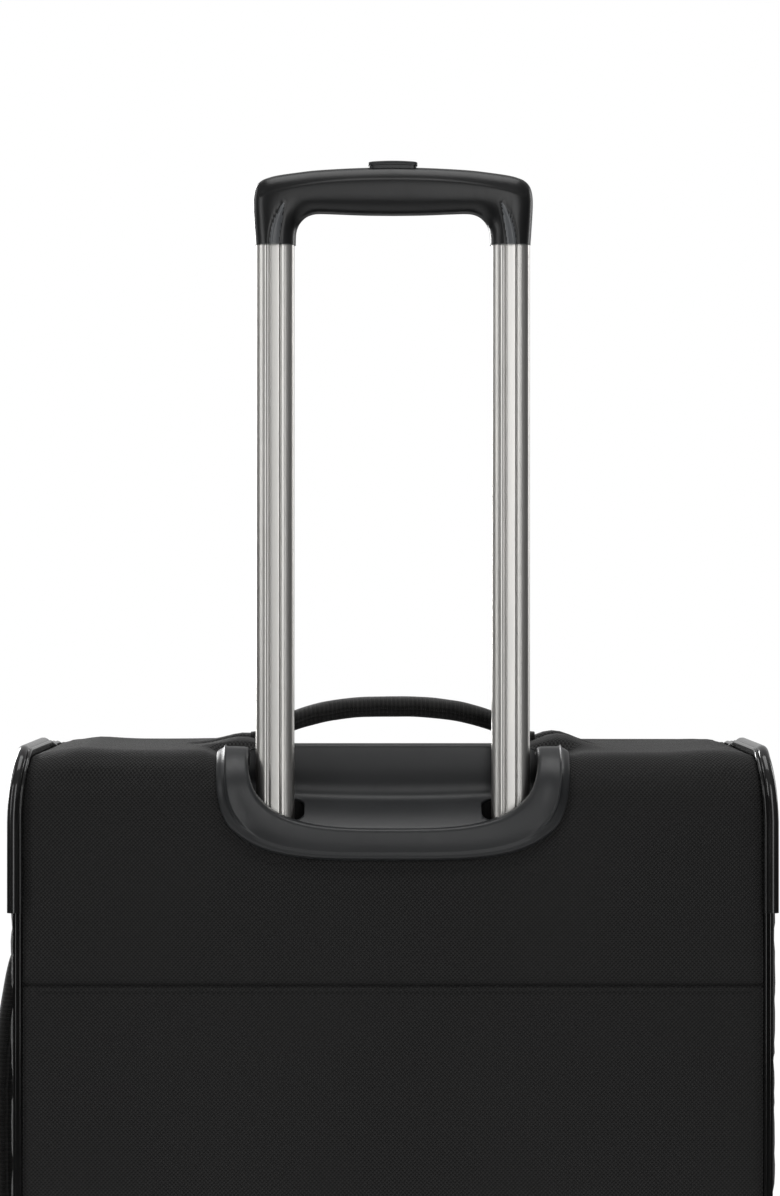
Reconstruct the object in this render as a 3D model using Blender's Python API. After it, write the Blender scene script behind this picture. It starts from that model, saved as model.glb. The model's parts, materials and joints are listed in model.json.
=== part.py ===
"""Softside upright suitcase with a telescopic pull handle.

Metres, +Z up. The origin is on the floor under the middle of the case. The
front, with the lid and its pockets, faces -Y; the back panel, with the handle
recess and the wheels, faces +Y. "Left" is the -X side. The pull handle is
modelled fully raised.
"""
import math

import bmesh
import bpy
from mathutils import Vector

# ---------------------------------------------------------------- dimensions
# Case body
CASE_TOP = 0.668          # top panel above the floor
CASE_BOTTOM = 0.028       # bottom panel above the floor
BACK_Y = 0.1325           # outer face of the back panel
LID_Y = -0.1325           # outer face of the lid
ZIP_Y = -0.0790           # plane where the lid parts from the case
SIDE_X = 0.2225           # outer face of a side panel
WRAP_X = 0.2166           # edge of the wrap panel
WALL = 0.005              # padded fabric wall
EDGE_R = 0.024            # radius of the rear edges of the case
GAP = 0.0003              # clearance between fixed pieces
HALF_SPAN = 0.2485        # side handle and side feet reach this far out
HALF_DEPTH = 0.154        # wheels and zip pulls reach this far out
PIPING_R = 0.0026
PIPING_X = 0.2195         # piping between a side panel and the wrap panel
SIDE_INSET = 0.003        # side panels lie this far inside the case profile
GUARD_REACH = 0.150       # corner guards run this far forward over the top
GUARD_LOW = 0.577         # and down to this height
BEYOND = 0.12             # half width of tools that cut right through the recess

# Pull handle
TUBE_X = 0.0695           # tube centre from the middle of the case
TUBE_Y = 0.1145
TUBE_W = 0.0222
TUBE_D = 0.0140
TUBE_WALL = 0.0013
SLEEVE_GAP = 0.0007       # running clearance of the sliding tubes
SLEEVE_WALL = 0.0015
SLEEVE_BOTTOM = 0.110
SLEEVE_TOP = 0.612
TUBE_BOTTOM = 0.572
LEG_BOTTOM = 0.9694
GRIP_HALF_W = 0.0826
GRIP_TOP = 1.0150
GRIP_INNER_X = 0.0574
GRIP_UNDER = 0.9877
GRIP_DEPTH = 0.020
BUTTON_HALF_W = 0.0145
BUTTON_HALF_D = 0.0055
BUTTON_PROUD = 0.0038
PIN_Z = 0.585             # lock pins, near the foot of the sliding tubes
PIN_R = 0.0022
ROD_R = 0.0018

# Handle recess
RIM_TOP = 0.675
RIM_HALF_W = 0.104
RIM_H = 0.068
RIM_PROUD = 0.006
MOUTH_HALF_W = 0.085
MOUTH_H = 0.0488
TRAY_HALF_W = 0.0905
TRAY_H = 0.0615
TRAY_DEPTH = 0.0372
TRAY_WALL = 0.0023
TRAY_LIP_Z = 0.6745       # top edge of the tray between the tubes
ARM_RISE = 0.02           # recess outlines run this far on past RIM_TOP
ARM_REACH = 0.044         # rim arms bend forward over the top edge to here
RECESS_LOW = 0.600
PASSAGE_HALF_X = 0.0119   # passage of a sliding tube through the tray
PASSAGE_HALF_Y = 0.0078
SEAT_HALF_X = 0.0137      # wider seat round the passage
SEAT_HALF_Y = 0.0107
SEAT_Z = 0.6362

# Inside
BOARD_HALF_W = 0.205
BOARD_LOW = 0.090
BOARD_HIGH = 0.604
BOARD_Y = 0.1000
BOARD_T = 0.0020
BRACKET_HALF_W = 0.095
LINING_HALF_W = 0.2155
LINING_LOW = 0.0360
LINING_HIGH = 0.6620
LINING_BACK = 0.0945
LINING_MOUTH = -0.0745
LINING_T = 0.0015
WIRE_Y = -0.0685
WIRE_R = 0.0017
WIRE_INSET = 0.004        # wire frame inside the outside of the lining
STRAP_LOW = 0.335
STRAP_HIGH = 0.360
STRAP_NEAR = 0.033
STRAP_FAR = 0.205
SLOT_HALF_Y = 0.0028      # slot of a fixed tube for its lock pin
SLOT_LOW = 0.235
SLOT_HIGH = 0.602

# Carry handles
HANDLE_T = 0.012
HANDLE_W = 0.028
AXIS_LIFT = 0.0075        # handle pivot above the panel it stands on
TOP_HANDLE_Y = 0.020
TOP_HANDLE_HALF = 0.0875
TOP_HANDLE_RISE = 0.0185
SIDE_HANDLE_Z = 0.430
SIDE_HANDLE_HALF = 0.125

# Wheels and feet
WHEEL_R = 0.0325
WHEEL_X = 0.178
WHEEL_Y = HALF_DEPTH - WHEEL_R
AXLE_R = 0.004
WELL_R = 0.0358
WELL_HALF_W = 0.0145
HOUSING_HALF_W = 0.020
HOUSING_TOP = 0.074
FOOT_X = 0.165
FOOT_Y = -0.045

# Lid
LID_HALF_W = 0.2215
LID_LOW = 0.0285
LID_HIGH = 0.6675
LID_R = 0.012
TAPE_W = 0.0030
HINGE_X = -0.2235
POCKET_HALF_W = 0.185
PULL_L = 0.028


# ---------------------------------------------------------------- materials
def material(name, colour, roughness, metallic=0.0):
    """Return a Principled material with one colour."""
    mat = bpy.data.materials.new(name)
    mat.use_nodes = True
    shader = mat.node_tree.nodes["Principled BSDF"]
    shader.inputs["Base Color"].default_value = (*colour, 1.0)
    shader.inputs["Roughness"].default_value = roughness
    shader.inputs["Metallic"].default_value = metallic
    return mat


# ---------------------------------------------------------------- outlines
def arc(cx, cy, radius, start, stop, steps):
    """Points on an arc, angles in degrees, both ends included."""
    points = []
    for i in range(steps + 1):
        angle = math.radians(start + (stop - start) * i / steps)
        points.append((cx + radius * math.cos(angle), cy + radius * math.sin(angle)))
    return points


def rounded_rect(x0, y0, x1, y1, radius, steps=3):
    """Closed outline of a rectangle with round corners, anticlockwise."""
    points = []
    points += arc(x1 - radius, y0 + radius, radius, -90, 0, steps)
    points += arc(x1 - radius, y1 - radius, radius, 0, 90, steps)
    points += arc(x0 + radius, y1 - radius, radius, 90, 180, steps)
    points += arc(x0 + radius, y0 + radius, radius, 180, 270, steps)
    return points


def smile(half_w, height, power, top, rise, steps=20):
    """Open U-shaped outline in X and Z, from the left end to the right end."""
    points = [(-half_w, top + rise)]
    for i in range(steps + 1):
        angle = math.pi * i / steps
        c = math.cos(angle)
        x = -half_w * math.copysign(abs(c) ** (2 / power), c)
        z = top - height * math.sin(angle) ** (2 / power)
        points.append((x, z))
    points.append((half_w, top + rise))
    return points


def case_path(offset, front=ZIP_Y + 0.0035, steps=5):
    """Profile of the case in Y and Z: top, back and bottom, open at the front."""
    points = [(front, CASE_TOP + offset)]
    points += arc(BACK_Y - EDGE_R, CASE_TOP - EDGE_R, EDGE_R + offset, 90, 0, steps)
    points += arc(BACK_Y - EDGE_R, CASE_BOTTOM + EDGE_R, EDGE_R + offset, 0, -90, steps)
    points.append((front, CASE_BOTTOM - offset))
    return points


def top_corner_path(offset, front, low, steps=6):
    """Profile over the rear top edge only, from the top panel down the back."""
    points = [(front, CASE_TOP + offset)]
    points += arc(BACK_Y - EDGE_R, CASE_TOP - EDGE_R, EDGE_R + offset, 90, 0, steps)
    points.append((BACK_Y + offset, low))
    return points


def bottom_corner_path(offset, front, high, steps=6):
    """Profile round the rear bottom edge only, from the back to the bottom."""
    points = [(BACK_Y + offset, high)]
    points += arc(BACK_Y - EDGE_R, CASE_BOTTOM + EDGE_R, EDGE_R + offset, 0, -90, steps)
    points.append((front, CASE_BOTTOM - offset))
    return points


def band(path, under, over, **limits):
    """Closed outline of the strip between two offsets of a profile."""
    return path(over, **limits) + path(under, **limits)[::-1]


# ---------------------------------------------------------------- bodies
def to_3d(point, plane, depth):
    """Lift a 2-D outline point into space."""
    a, b = point
    if plane == "YZ":
        return Vector((depth, a, b))
    if plane == "XZ":
        return Vector((a, depth, b))
    return Vector((a, b, depth))


def loft(rings, closed=False):
    """Skin a list of rings, capped at both ends unless the rings close on themselves."""
    bm = bmesh.new()
    loops = [[bm.verts.new(point) for point in ring] for ring in rings]
    pairs = list(zip(loops, loops[1:]))
    if closed:
        pairs.append((loops[-1], loops[0]))
    count = len(rings[0])
    for first, second in pairs:
        for i in range(count):
            j = (i + 1) % count
            bm.faces.new((first[i], first[j], second[j], second[i]))
    if not closed:
        bm.faces.new(loops[0][::-1])
        bm.faces.new(loops[-1])
    bmesh.ops.recalc_face_normals(bm, faces=bm.faces)
    return bm


def prism(outline, plane, low, high):
    """Extrude an outline along the axis across its plane."""
    return loft([[to_3d(p, plane, depth) for p in outline] for depth in (low, high)])


def ring_prism(outer, inner, plane, low, high):
    """Extrude the strip between two outlines with equal point counts."""
    rings = [(outer, low), (outer, high), (inner, high), (inner, low)]
    return loft([[to_3d(p, plane, d) for p in line] for line, d in rings], closed=True)


def dish(outer, inner, plane, back, floor, mouth):
    """A tray: a floor from back to floor, and walls up to an open mouth."""
    rings = [(outer, back), (outer, mouth), (inner, mouth), (inner, floor)]
    return loft([[to_3d(p, plane, d) for p in line] for line, d in rings])


def box(x0, y0, z0, x1, y1, z1):
    """A plain block between two corners."""
    outline = [(x0, y0), (x1, y0), (x1, y1), (x0, y1)]
    return prism(outline, "XY", z0, z1)


def lathe_x(profile, cx, cy, cz, steps=28):
    """Turn a closed profile of (radius, offset along X) about an axis along X."""
    rings = []
    for i in range(steps):
        angle = 2 * math.pi * i / steps
        ring = []
        for radius, along in profile:
            y = cy + radius * math.cos(angle)
            z = cz + radius * math.sin(angle)
            ring.append(Vector((cx + along, y, z)))
        rings.append(ring)
    return loft(rings, closed=True)


def disc_rings(centre, direction, stations, steps):
    """Rings round a straight axis, one for each (distance along, radius)."""
    direction = Vector(direction)
    side = direction.orthogonal().normalized()
    other = direction.cross(side)
    rings = []
    for along, radius in stations:
        ring = []
        for i in range(steps):
            angle = 2 * math.pi * i / steps
            spoke = side * math.cos(angle) + other * math.sin(angle)
            ring.append(Vector(centre) + direction * along + spoke * radius)
        rings.append(ring)
    return rings


def rod(start, end, radius, steps=14):
    """A round bar between two points."""
    start = Vector(start)
    length = (Vector(end) - start).length
    direction = (Vector(end) - start).normalized()
    return loft(disc_rings(start, direction, [(0, radius), (length, radius)], steps))


def sweep(path, normal, section, closed=False):
    """Carry a section of (sideways, outwards) offsets along a flat path."""
    normal = Vector(normal)
    count = len(path)
    rings = []
    for i, point in enumerate(path):
        before = path[(i - 1) % count] if closed or i > 0 else point
        after = path[(i + 1) % count] if closed or i < count - 1 else point
        into = (point - before).normalized() if point != before else None
        out = (after - point).normalized() if after != point else None
        into = into or out
        out = out or into
        tangent = (into + out).normalized()
        outward = normal.cross(tangent)
        stretch = 1 / max(0.5, tangent.dot(out))
        rings.append([point + normal * s + outward * (o * stretch) for s, o in section])
    return loft(rings, closed)


def circle_section(radius, steps=10):
    """Round section for a sweep."""
    return arc(0, 0, radius, 0, 360 - 360 / steps, steps - 1)


def add(name, bm, mat, pivot=None):
    """Turn a body into a named object, hung from its pivot if it moves."""
    origin = pivot.location if pivot else Vector((0, 0, 0))
    bmesh.ops.translate(bm, vec=-origin, verts=bm.verts)
    mesh = bpy.data.meshes.new(name)
    bm.to_mesh(mesh)
    bm.free()
    mesh.shade_smooth()
    mesh.set_sharp_from_angle(angle=math.radians(35))
    mesh.materials.append(mat)
    obj = bpy.data.objects.new(name, mesh)
    bpy.context.scene.collection.objects.link(obj)
    obj.parent = pivot
    return obj


def combine(target, bm, operation="DIFFERENCE"):
    """Cut, join or intersect an object with a hidden tool body, and return the tool."""
    mesh = bpy.data.meshes.new("tool")
    bm.to_mesh(mesh)
    bm.free()
    tool = bpy.data.objects.new("tool", mesh)
    tool.hide_render = True
    tool.display_type = "WIRE"
    bpy.context.scene.collection.objects.link(tool)
    modifier = target.modifiers.new(operation.lower(), "BOOLEAN")
    modifier.operation = operation
    modifier.solver = "EXACT"
    modifier.object = tool
    return tool


def pivot_at(name, location):
    """An empty on a joint's axis, for the pieces that turn or slide there."""
    empty = bpy.data.objects.new(name, None)
    empty.location = location
    bpy.context.scene.collection.objects.link(empty)
    return empty


def sides():
    """Name and sign of the left (-X) and right (+X) sides."""
    return (("left", -1), ("right", 1))


# ---------------------------------------------------------------- case shell
def tray_outline(shrink=0.0):
    """Outline of the handle tray, seen from behind."""
    return smile(TRAY_HALF_W - shrink, TRAY_H - shrink, 5.0, RIM_TOP, ARM_RISE)


def build_shell(mats):
    """Wrap panel, side panels, piping and corner guards."""
    wrap = prism(band(case_path, -WALL, 0.0), "YZ", -WRAP_X, WRAP_X)
    wrap = add("wrap_panel", wrap, mats["fabric"])
    hole = tray_outline(-GAP)
    combine(wrap, prism(hole, "XZ", BACK_Y - TRAY_DEPTH - GAP, BACK_Y + 0.02))
    for _, sign in sides():
        combine(wrap, housing_block(sign, GAP))

    side_outline = case_path(-SIDE_INSET)
    for side, sign in sides():
        inner, outer = sorted((sign * (WRAP_X + GAP), sign * SIDE_X))
        panel = prism(side_outline, "YZ", inner, outer)
        add(f"side_panel_{side}", panel, mats["fabric"])

        path = [Vector((sign * PIPING_X, y, z)) for y, z in case_path(0.0)]
        piping = sweep(path, (1, 0, 0), circle_section(PIPING_R, 8))
        add(f"piping_{side}", piping, mats["gloss"])

        guard_path = top_corner_path(0.0, BACK_Y - GUARD_REACH, GUARD_LOW)
        section = [(0.2175, 0.0032), (0.2228, 0.0032), (0.2228, -0.0060), (0.2255, -0.0060),
                   (0.2255, 0.0040), (0.2242, 0.0058), (0.2200, 0.0062), (0.2175, 0.0048)]
        spine = [Vector((0, y, z)) for y, z in guard_path]
        guard = sweep(spine, (1, 0, 0), [(sign * u, v) for u, v in section])
        add(f"corner_guard_{side}", guard, mats["gloss"])


def build_recess(mats):
    """The rim of the handle recess and the tray inside it."""
    outer = smile(RIM_HALF_W, RIM_H, 3.2, RIM_TOP, ARM_RISE)
    inner = smile(MOUTH_HALF_W, MOUTH_H, 3.2, RIM_TOP, ARM_RISE)
    rim = prism(outer + inner[::-1], "XZ", BACK_Y - ARM_REACH - 0.001, BACK_Y + 0.02)
    rim = add("handle_rim", rim, mats["plastic"])
    reach = {"front": BACK_Y - ARM_REACH, "low": RECESS_LOW}
    skin = band(top_corner_path, 0.0004, RIM_PROUD, **reach)
    combine(rim, prism(skin, "YZ", -BEYOND, BEYOND), "INTERSECT")

    front = BACK_Y - TRAY_DEPTH
    tray = add("handle_tray", prism(tray_outline(), "XZ", front, BACK_Y + 0.01), mats["plastic"])
    inside = [(front - 0.01, RECESS_LOW)] + case_path(0.0, front - 0.01)[:8]
    inside.append((BACK_Y, RECESS_LOW))
    combine(tray, prism(inside, "YZ", -BEYOND, BEYOND), "INTERSECT")
    hollow = [(BACK_Y + 0.02, 0.6250), (BACK_Y - 0.002, 0.6262), (BACK_Y - 0.022, 0.6385)]
    hollow += [(BACK_Y - 0.029, 0.6440), (BACK_Y - 0.033, 0.6525), (BACK_Y - 0.034, 0.70)]
    hollow += [(BACK_Y + 0.02, 0.70)]
    scoop = combine(tray, prism(tray_outline(TRAY_WALL), "XZ", front - 0.01, BACK_Y + 0.03))
    combine(scoop, prism(hollow, "YZ", -BEYOND, BEYOND), "INTERSECT")
    for _, sign in sides():
        x = sign * TUBE_X
        passage = rounded_rect(x - PASSAGE_HALF_X, TUBE_Y - PASSAGE_HALF_Y,
                               x + PASSAGE_HALF_X, TUBE_Y + PASSAGE_HALF_Y, 0.0045)
        combine(tray, prism(passage, "XY", RECESS_LOW - 0.01, RIM_TOP + 0.025))
        seat = rounded_rect(x - SEAT_HALF_X, TUBE_Y - SEAT_HALF_Y,
                            x + SEAT_HALF_X, TUBE_Y + SEAT_HALF_Y, 0.006)
        combine(tray, prism(seat, "XY", SEAT_Z, RIM_TOP + 0.025))
    lip = [(BACK_Y - 0.0365, 0.6600), (BACK_Y - 0.0345, 0.6600), (BACK_Y - 0.0340, 0.6725)]
    lip += [(BACK_Y - 0.0360, TRAY_LIP_Z), (BACK_Y - 0.0480, TRAY_LIP_Z)]
    lip += [(BACK_Y - 0.0480, 0.6700), (BACK_Y - 0.0370, 0.6700)]
    half = MOUTH_HALF_W - GAP
    combine(tray, prism(lip, "YZ", -half, half), "UNION")


def build_inside(mats):
    """Stiff back board, fixed tubes, lining, wire frame and tie-down straps."""
    board = rounded_rect(-BOARD_HALF_W, BOARD_LOW, BOARD_HALF_W, BOARD_HIGH, 0.02)
    add("back_board", prism(board, "XZ", BOARD_Y, BOARD_Y + BOARD_T), mats["board"])

    for side, sign in sides():
        x = sign * TUBE_X
        half_x = TUBE_W / 2 + SLEEVE_GAP
        half_y = TUBE_D / 2 + SLEEVE_GAP
        inner = rounded_rect(x - half_x, TUBE_Y - half_y, x + half_x, TUBE_Y + half_y, 0.0045)
        half_x += SLEEVE_WALL
        half_y += SLEEVE_WALL
        outer = rounded_rect(x - half_x, TUBE_Y - half_y, x + half_x, TUBE_Y + half_y, 0.006)
        sleeve = ring_prism(outer, inner, "XY", SLEEVE_BOTTOM, SLEEVE_TOP)
        sleeve = add(f"fixed_tube_{side}", sleeve, mats["aluminium"])
        near, far = sorted((x - sign * 0.0095, x - sign * 0.020))
        combine(sleeve, box(near, TUBE_Y - SLOT_HALF_Y, SLOT_LOW,
                            far, TUBE_Y + SLOT_HALF_Y, SLOT_HIGH))

    bracket = box(-BRACKET_HALF_W, TUBE_Y - 0.011, BOARD_LOW,
                  BRACKET_HALF_W, TUBE_Y + 0.012, SLEEVE_BOTTOM - GAP)
    add("tube_bracket", bracket, mats["plastic"])

    outer = rounded_rect(-LINING_HALF_W, LINING_LOW, LINING_HALF_W, LINING_HIGH, 0.012)
    inner = rounded_rect(-LINING_HALF_W + LINING_T, LINING_LOW + LINING_T,
                         LINING_HALF_W - LINING_T, LINING_HIGH - LINING_T, 0.0105)
    tub = dish(outer, inner, "XZ", LINING_BACK, LINING_BACK - LINING_T, LINING_MOUTH)
    lining = add("lining_tub", tub, mats["lining"])
    for _, sign in sides():
        combine(lining, housing_block(sign, 0.001))

    wire = rounded_rect(-LINING_HALF_W + WIRE_INSET, LINING_LOW + WIRE_INSET,
                        LINING_HALF_W - WIRE_INSET, LINING_HIGH - WIRE_INSET, 0.02)
    path = [Vector((x, WIRE_Y, z)) for x, z in wire]
    add("opening_wire", sweep(path, (0, 1, 0), circle_section(WIRE_R, 6), True), mats["steel"])

    for side, sign in sides():
        near, far = sorted((sign * STRAP_NEAR, sign * STRAP_FAR))
        strap = rounded_rect(near, 0.0905, far, 0.0922, 0.0004, 1)
        add(f"tie_strap_{side}", prism(strap, "XY", STRAP_LOW, STRAP_HIGH), mats["webbing"])
    half = STRAP_NEAR - 0.0005
    buckle = rounded_rect(-half, STRAP_LOW - 0.005, half, STRAP_HIGH + 0.005, 0.008)
    add("strap_buckle", prism(buckle, "XZ", 0.0865, 0.0924), mats["plastic"])


# ---------------------------------------------------------------- pull handle
def build_trolley(mats, pivot):
    """Sliding tubes and the grip that joins them."""
    for side, sign in sides():
        x = sign * TUBE_X
        half_x = TUBE_W / 2
        half_y = TUBE_D / 2
        outer = rounded_rect(x - half_x, TUBE_Y - half_y, x + half_x, TUBE_Y + half_y, 0.0048, 4)
        half_x -= TUBE_WALL
        half_y -= TUBE_WALL
        inner = rounded_rect(x - half_x, TUBE_Y - half_y, x + half_x, TUBE_Y + half_y, 0.0035, 4)
        tube = ring_prism(outer, inner, "XY", TUBE_BOTTOM, LEG_BOTTOM - GAP)
        tube = add(f"sliding_tube_{side}", tube, mats["aluminium"], pivot)
        inboard = x - sign * 0.005
        outboard = x - sign * 0.020
        combine(tube, rod((inboard, TUBE_Y, PIN_Z), (outboard, TUBE_Y, PIN_Z), PIN_R + 0.0004))

    corner = 0.008
    top = []
    flat_half = GRIP_HALF_W - corner
    steps = 12
    for i in range(steps + 1):
        x = -flat_half + 2 * flat_half * i / steps
        fall = 0.0072 * abs(x / flat_half) ** 2.4
        top.append((x, GRIP_TOP - fall))
    shoulder = GRIP_TOP - 0.0072 - corner
    right_corner = arc(flat_half, shoulder, corner, 70, 0, 3)
    left_corner = [(-x, z) for x, z in right_corner[::-1]]
    inner_r = 0.007
    under = []
    for i in range(7):
        x = (GRIP_INNER_X - inner_r) * (1 - i / 3)
        under.append((x, GRIP_UNDER + 0.0012 * abs(x / GRIP_INNER_X) ** 2))
    under_z = under[0][1]
    right_in = arc(GRIP_INNER_X - inner_r, under_z - inner_r, inner_r, 0, 60, 2)
    left_in = [(-x, z) for x, z in right_in[::-1]]
    outline = [(-GRIP_HALF_W, LEG_BOTTOM)] + left_corner + top + right_corner
    outline += [(GRIP_HALF_W, LEG_BOTTOM), (GRIP_INNER_X, LEG_BOTTOM)] + right_in + under
    outline += left_in + [(-GRIP_INNER_X, LEG_BOTTOM)]
    half = GRIP_DEPTH / 2
    grip = add("grip", prism(outline, "XZ", TUBE_Y - half, TUBE_Y + half), mats["grip"], pivot)
    rounding = grip.modifiers.new("rounding", "BEVEL")
    rounding.width = 0.0045
    rounding.segments = 2
    rounding.limit_method = "ANGLE"
    rounding.angle_limit = math.radians(60)
    for _, sign in sides():
        x = sign * TUBE_X
        plug = rounded_rect(x - 0.0090, TUBE_Y - 0.0050, x + 0.0090, TUBE_Y + 0.0050, 0.003)
        combine(grip, prism(plug, "XY", LEG_BOTTOM - 0.025, LEG_BOTTOM + 0.004), "UNION")
        near, far = sorted((x - sign * 0.0045, x + sign * 0.0035))
        combine(grip, box(near, TUBE_Y - 0.0032, 0.93, far, TUBE_Y + 0.0032, 0.996))
    combine(grip, box(-0.0730, TUBE_Y - 0.0032, 0.9930, 0.0730, TUBE_Y + 0.0032, 1.0035))
    combine(grip, box(-BUTTON_HALF_W - GAP, TUBE_Y - BUTTON_HALF_D - GAP, 0.9985,
                      BUTTON_HALF_W + GAP, TUBE_Y + BUTTON_HALF_D + GAP, 1.03))


def build_release(mats, pivot, pin_pivots):
    """Push button with its yoke, the rods down the tubes, and the lock pins."""
    crown = [(-BUTTON_HALF_W, 1.0075)]
    for i in range(9):
        x = BUTTON_HALF_W * (i / 4 - 1)
        z = GRIP_TOP + BUTTON_PROUD - 0.0010 * (x / BUTTON_HALF_W) ** 2
        crown.append((x, z))
    crown.append((BUTTON_HALF_W, 1.0075))
    low, high = TUBE_Y - BUTTON_HALF_D, TUBE_Y + BUTTON_HALF_D
    button = add("release_button", prism(crown, "XZ", low, high), mats["grip"], pivot)
    combine(button, box(-0.004, TUBE_Y - 0.0026, 1.0000, 0.004, TUBE_Y + 0.0026, 1.0080), "UNION")
    combine(button, box(-0.0722, TUBE_Y - 0.0026, 0.9985, 0.0722, TUBE_Y + 0.0026, 1.0015), "UNION")
    for side, sign in sides():
        x = sign * TUBE_X
        bar = rod((x, TUBE_Y, 0.579), (x, TUBE_Y, 0.9982), ROD_R, 10)
        add(f"release_rod_{side}", bar, mats["steel"], pivot)
        tip = x - sign * 0.0130
        tail = x - sign * 0.0045
        pin = rod((tail, TUBE_Y, PIN_Z), (tip, TUBE_Y, PIN_Z), PIN_R, 12)
        add(f"lock_pin_{side}", pin, mats["steel"], pin_pivots[side])


# ---------------------------------------------------------------- carry handles
def handle_rings(place, half_length, rise):
    """Rings of an arched padded handle; place turns (along, across, out) into space."""
    straight = 0.88
    stations = [-1, -0.94, -0.88, -0.78, -0.66, -0.5, -0.3, 0, 0.3, 0.5, 0.66, 0.78, 0.88, 0.94, 1]
    rings = []
    for s in stations:
        reach = min(1.0, abs(s) / straight)
        lift = rise * (1 - reach ** 3)
        blend = min(1.0, max(0.0, (straight - abs(s)) / 0.5))
        blend = blend * blend * (3 - 2 * blend)
        half_w = HANDLE_T / 2 + (HANDLE_W - HANDLE_T) / 2 * blend
        ring = []
        for i in range(12):
            angle = 2 * math.pi * i / 12
            c = math.cos(angle)
            power = 1 - 0.25 * blend
            across = half_w * math.copysign(abs(c) ** power, c)
            out = HANDLE_T / 2 * math.sin(angle)
            ring.append(place(s * half_length, across, lift + out))
        rings.append(ring)
    return rings


def build_carry_handle(name, place, half_length, rise, mats, pivot):
    """One padded handle with a pin hole in each end, and its two anchors."""
    handle = add(name, loft(handle_rings(place, half_length, rise)), mats["webbing"], pivot)
    for end, sign in (("a", -1), ("b", 1)):
        inner = place(sign * (half_length - 0.0095), 0, 0)
        outer = place(sign * (half_length + 0.004), 0, 0)
        combine(handle, rod(inner, outer, 0.0034, 12))
        corners = []
        for out in (-AXIS_LIFT + 0.0004, 0.0055):
            near = half_length + 0.0005
            far = half_length + (0.018 if out < 0 else 0.014)
            wide = 0.012 if out < 0 else 0.009
            ring = [(near, -wide), (far, -wide * 0.6), (far, wide * 0.6), (near, wide)]
            corners.append([place(sign * along, across, out) for along, across in ring])
        anchor = add(f"{name}_anchor_{end}", loft(corners), mats["plastic"])
        tip = place(sign * (half_length - 0.0085), 0, 0)
        root = place(sign * (half_length + 0.005), 0, 0)
        combine(anchor, rod(tip, root, 0.003, 12), "UNION")


# ---------------------------------------------------------------- wheels and feet
def housing_block(sign, margin):
    """Block of one wheel housing where it sinks into the case."""
    x = sign * WHEEL_X
    half = HOUSING_HALF_W + margin
    well_front = WHEEL_Y - WELL_R - 0.0025 - margin
    top = HOUSING_TOP + margin
    return box(x - half, well_front, 0.018, x + half, BACK_Y + 0.003, top)


def build_wheels(mats, pivots):
    """Wheel housings, axles, hubs and tyres."""
    for side, sign in sides():
        x = sign * WHEEL_X
        housing = add(f"wheel_housing_{side}", housing_block(sign, 0.0), mats["plastic"])
        skirt = band(bottom_corner_path, 0.0004, 0.003, front=0.068, high=0.098)
        combine(housing, prism(skirt, "YZ", x - 0.028, x + 0.028), "UNION")
        well = rod((x - WELL_HALF_W, WHEEL_Y, WHEEL_R), (x + WELL_HALF_W, WHEEL_Y, WHEEL_R),
                   WELL_R, 32)
        combine(housing, well)
        bore = rod((x - 0.030, WHEEL_Y, WHEEL_R), (x + 0.030, WHEEL_Y, WHEEL_R),
                   AXLE_R + GAP, 14)
        combine(housing, bore)

        axle = rod((x - 0.0195, WHEEL_Y, WHEEL_R), (x + 0.0195, WHEEL_Y, WHEEL_R), AXLE_R, 14)
        add(f"axle_{side}", axle, mats["steel"])

        bore_r = AXLE_R + GAP
        hub = [(bore_r, -0.013), (0.009, -0.013), (0.009, -0.004), (0.0175, -0.004),
               (0.0175, -0.0105), (0.0215, -0.0105), (0.0215, 0.0105), (0.0175, 0.0105),
               (0.0175, 0.004), (0.009, 0.004), (0.009, 0.013), (bore_r, 0.013)]
        hub_body = lathe_x(hub, x, WHEEL_Y, WHEEL_R, 20)
        add(f"wheel_hub_{side}", hub_body, mats["hub"], pivots[side])

        tyre = [(0.0219, -0.0110), (0.0290, -0.0118), (0.0318, -0.0090), (WHEEL_R, -0.0040),
                (WHEEL_R, 0.0040), (0.0318, 0.0090), (0.0290, 0.0118), (0.0219, 0.0110)]
        tyre_body = lathe_x(tyre, x, WHEEL_Y, WHEEL_R, 36)
        add(f"tyre_{side}", tyre_body, mats["rubber"], pivots[side])


def build_feet(mats):
    """Two front feet, two side feet and the rear bumper between the wheels."""
    top = CASE_BOTTOM - GAP
    for side, sign in sides():
        x = sign * FOOT_X
        rings = []
        for z, half_x, half_y in ((0.0, 0.015, 0.011), (0.003, 0.017, 0.013), (top, 0.022, 0.018)):
            line = rounded_rect(x - half_x, FOOT_Y - half_y, x + half_x, FOOT_Y + half_y, 0.005)
            rings.append([to_3d(p, "XY", z) for p in line])
        add(f"front_foot_{side}", loft(rings), mats["plastic"])

    base = -SIDE_X - GAP
    reach = HALF_SPAN - SIDE_X - GAP
    stations = [(0, 0.020), (0.004, 0.018), (reach - 0.003, 0.0125), (reach, 0.009)]
    for name, z in (("lower", 0.105), ("upper", 0.355)):
        foot = loft(disc_rings((base, 0.035, z), (-1, 0, 0), stations, 20))
        add(f"side_foot_{name}", foot, mats["plastic"])

    skirt = band(bottom_corner_path, 0.0004, 0.003, front=0.085, high=0.075)
    add("rear_bumper", prism(skirt, "YZ", -0.146, 0.146), mats["plastic"])


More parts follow.
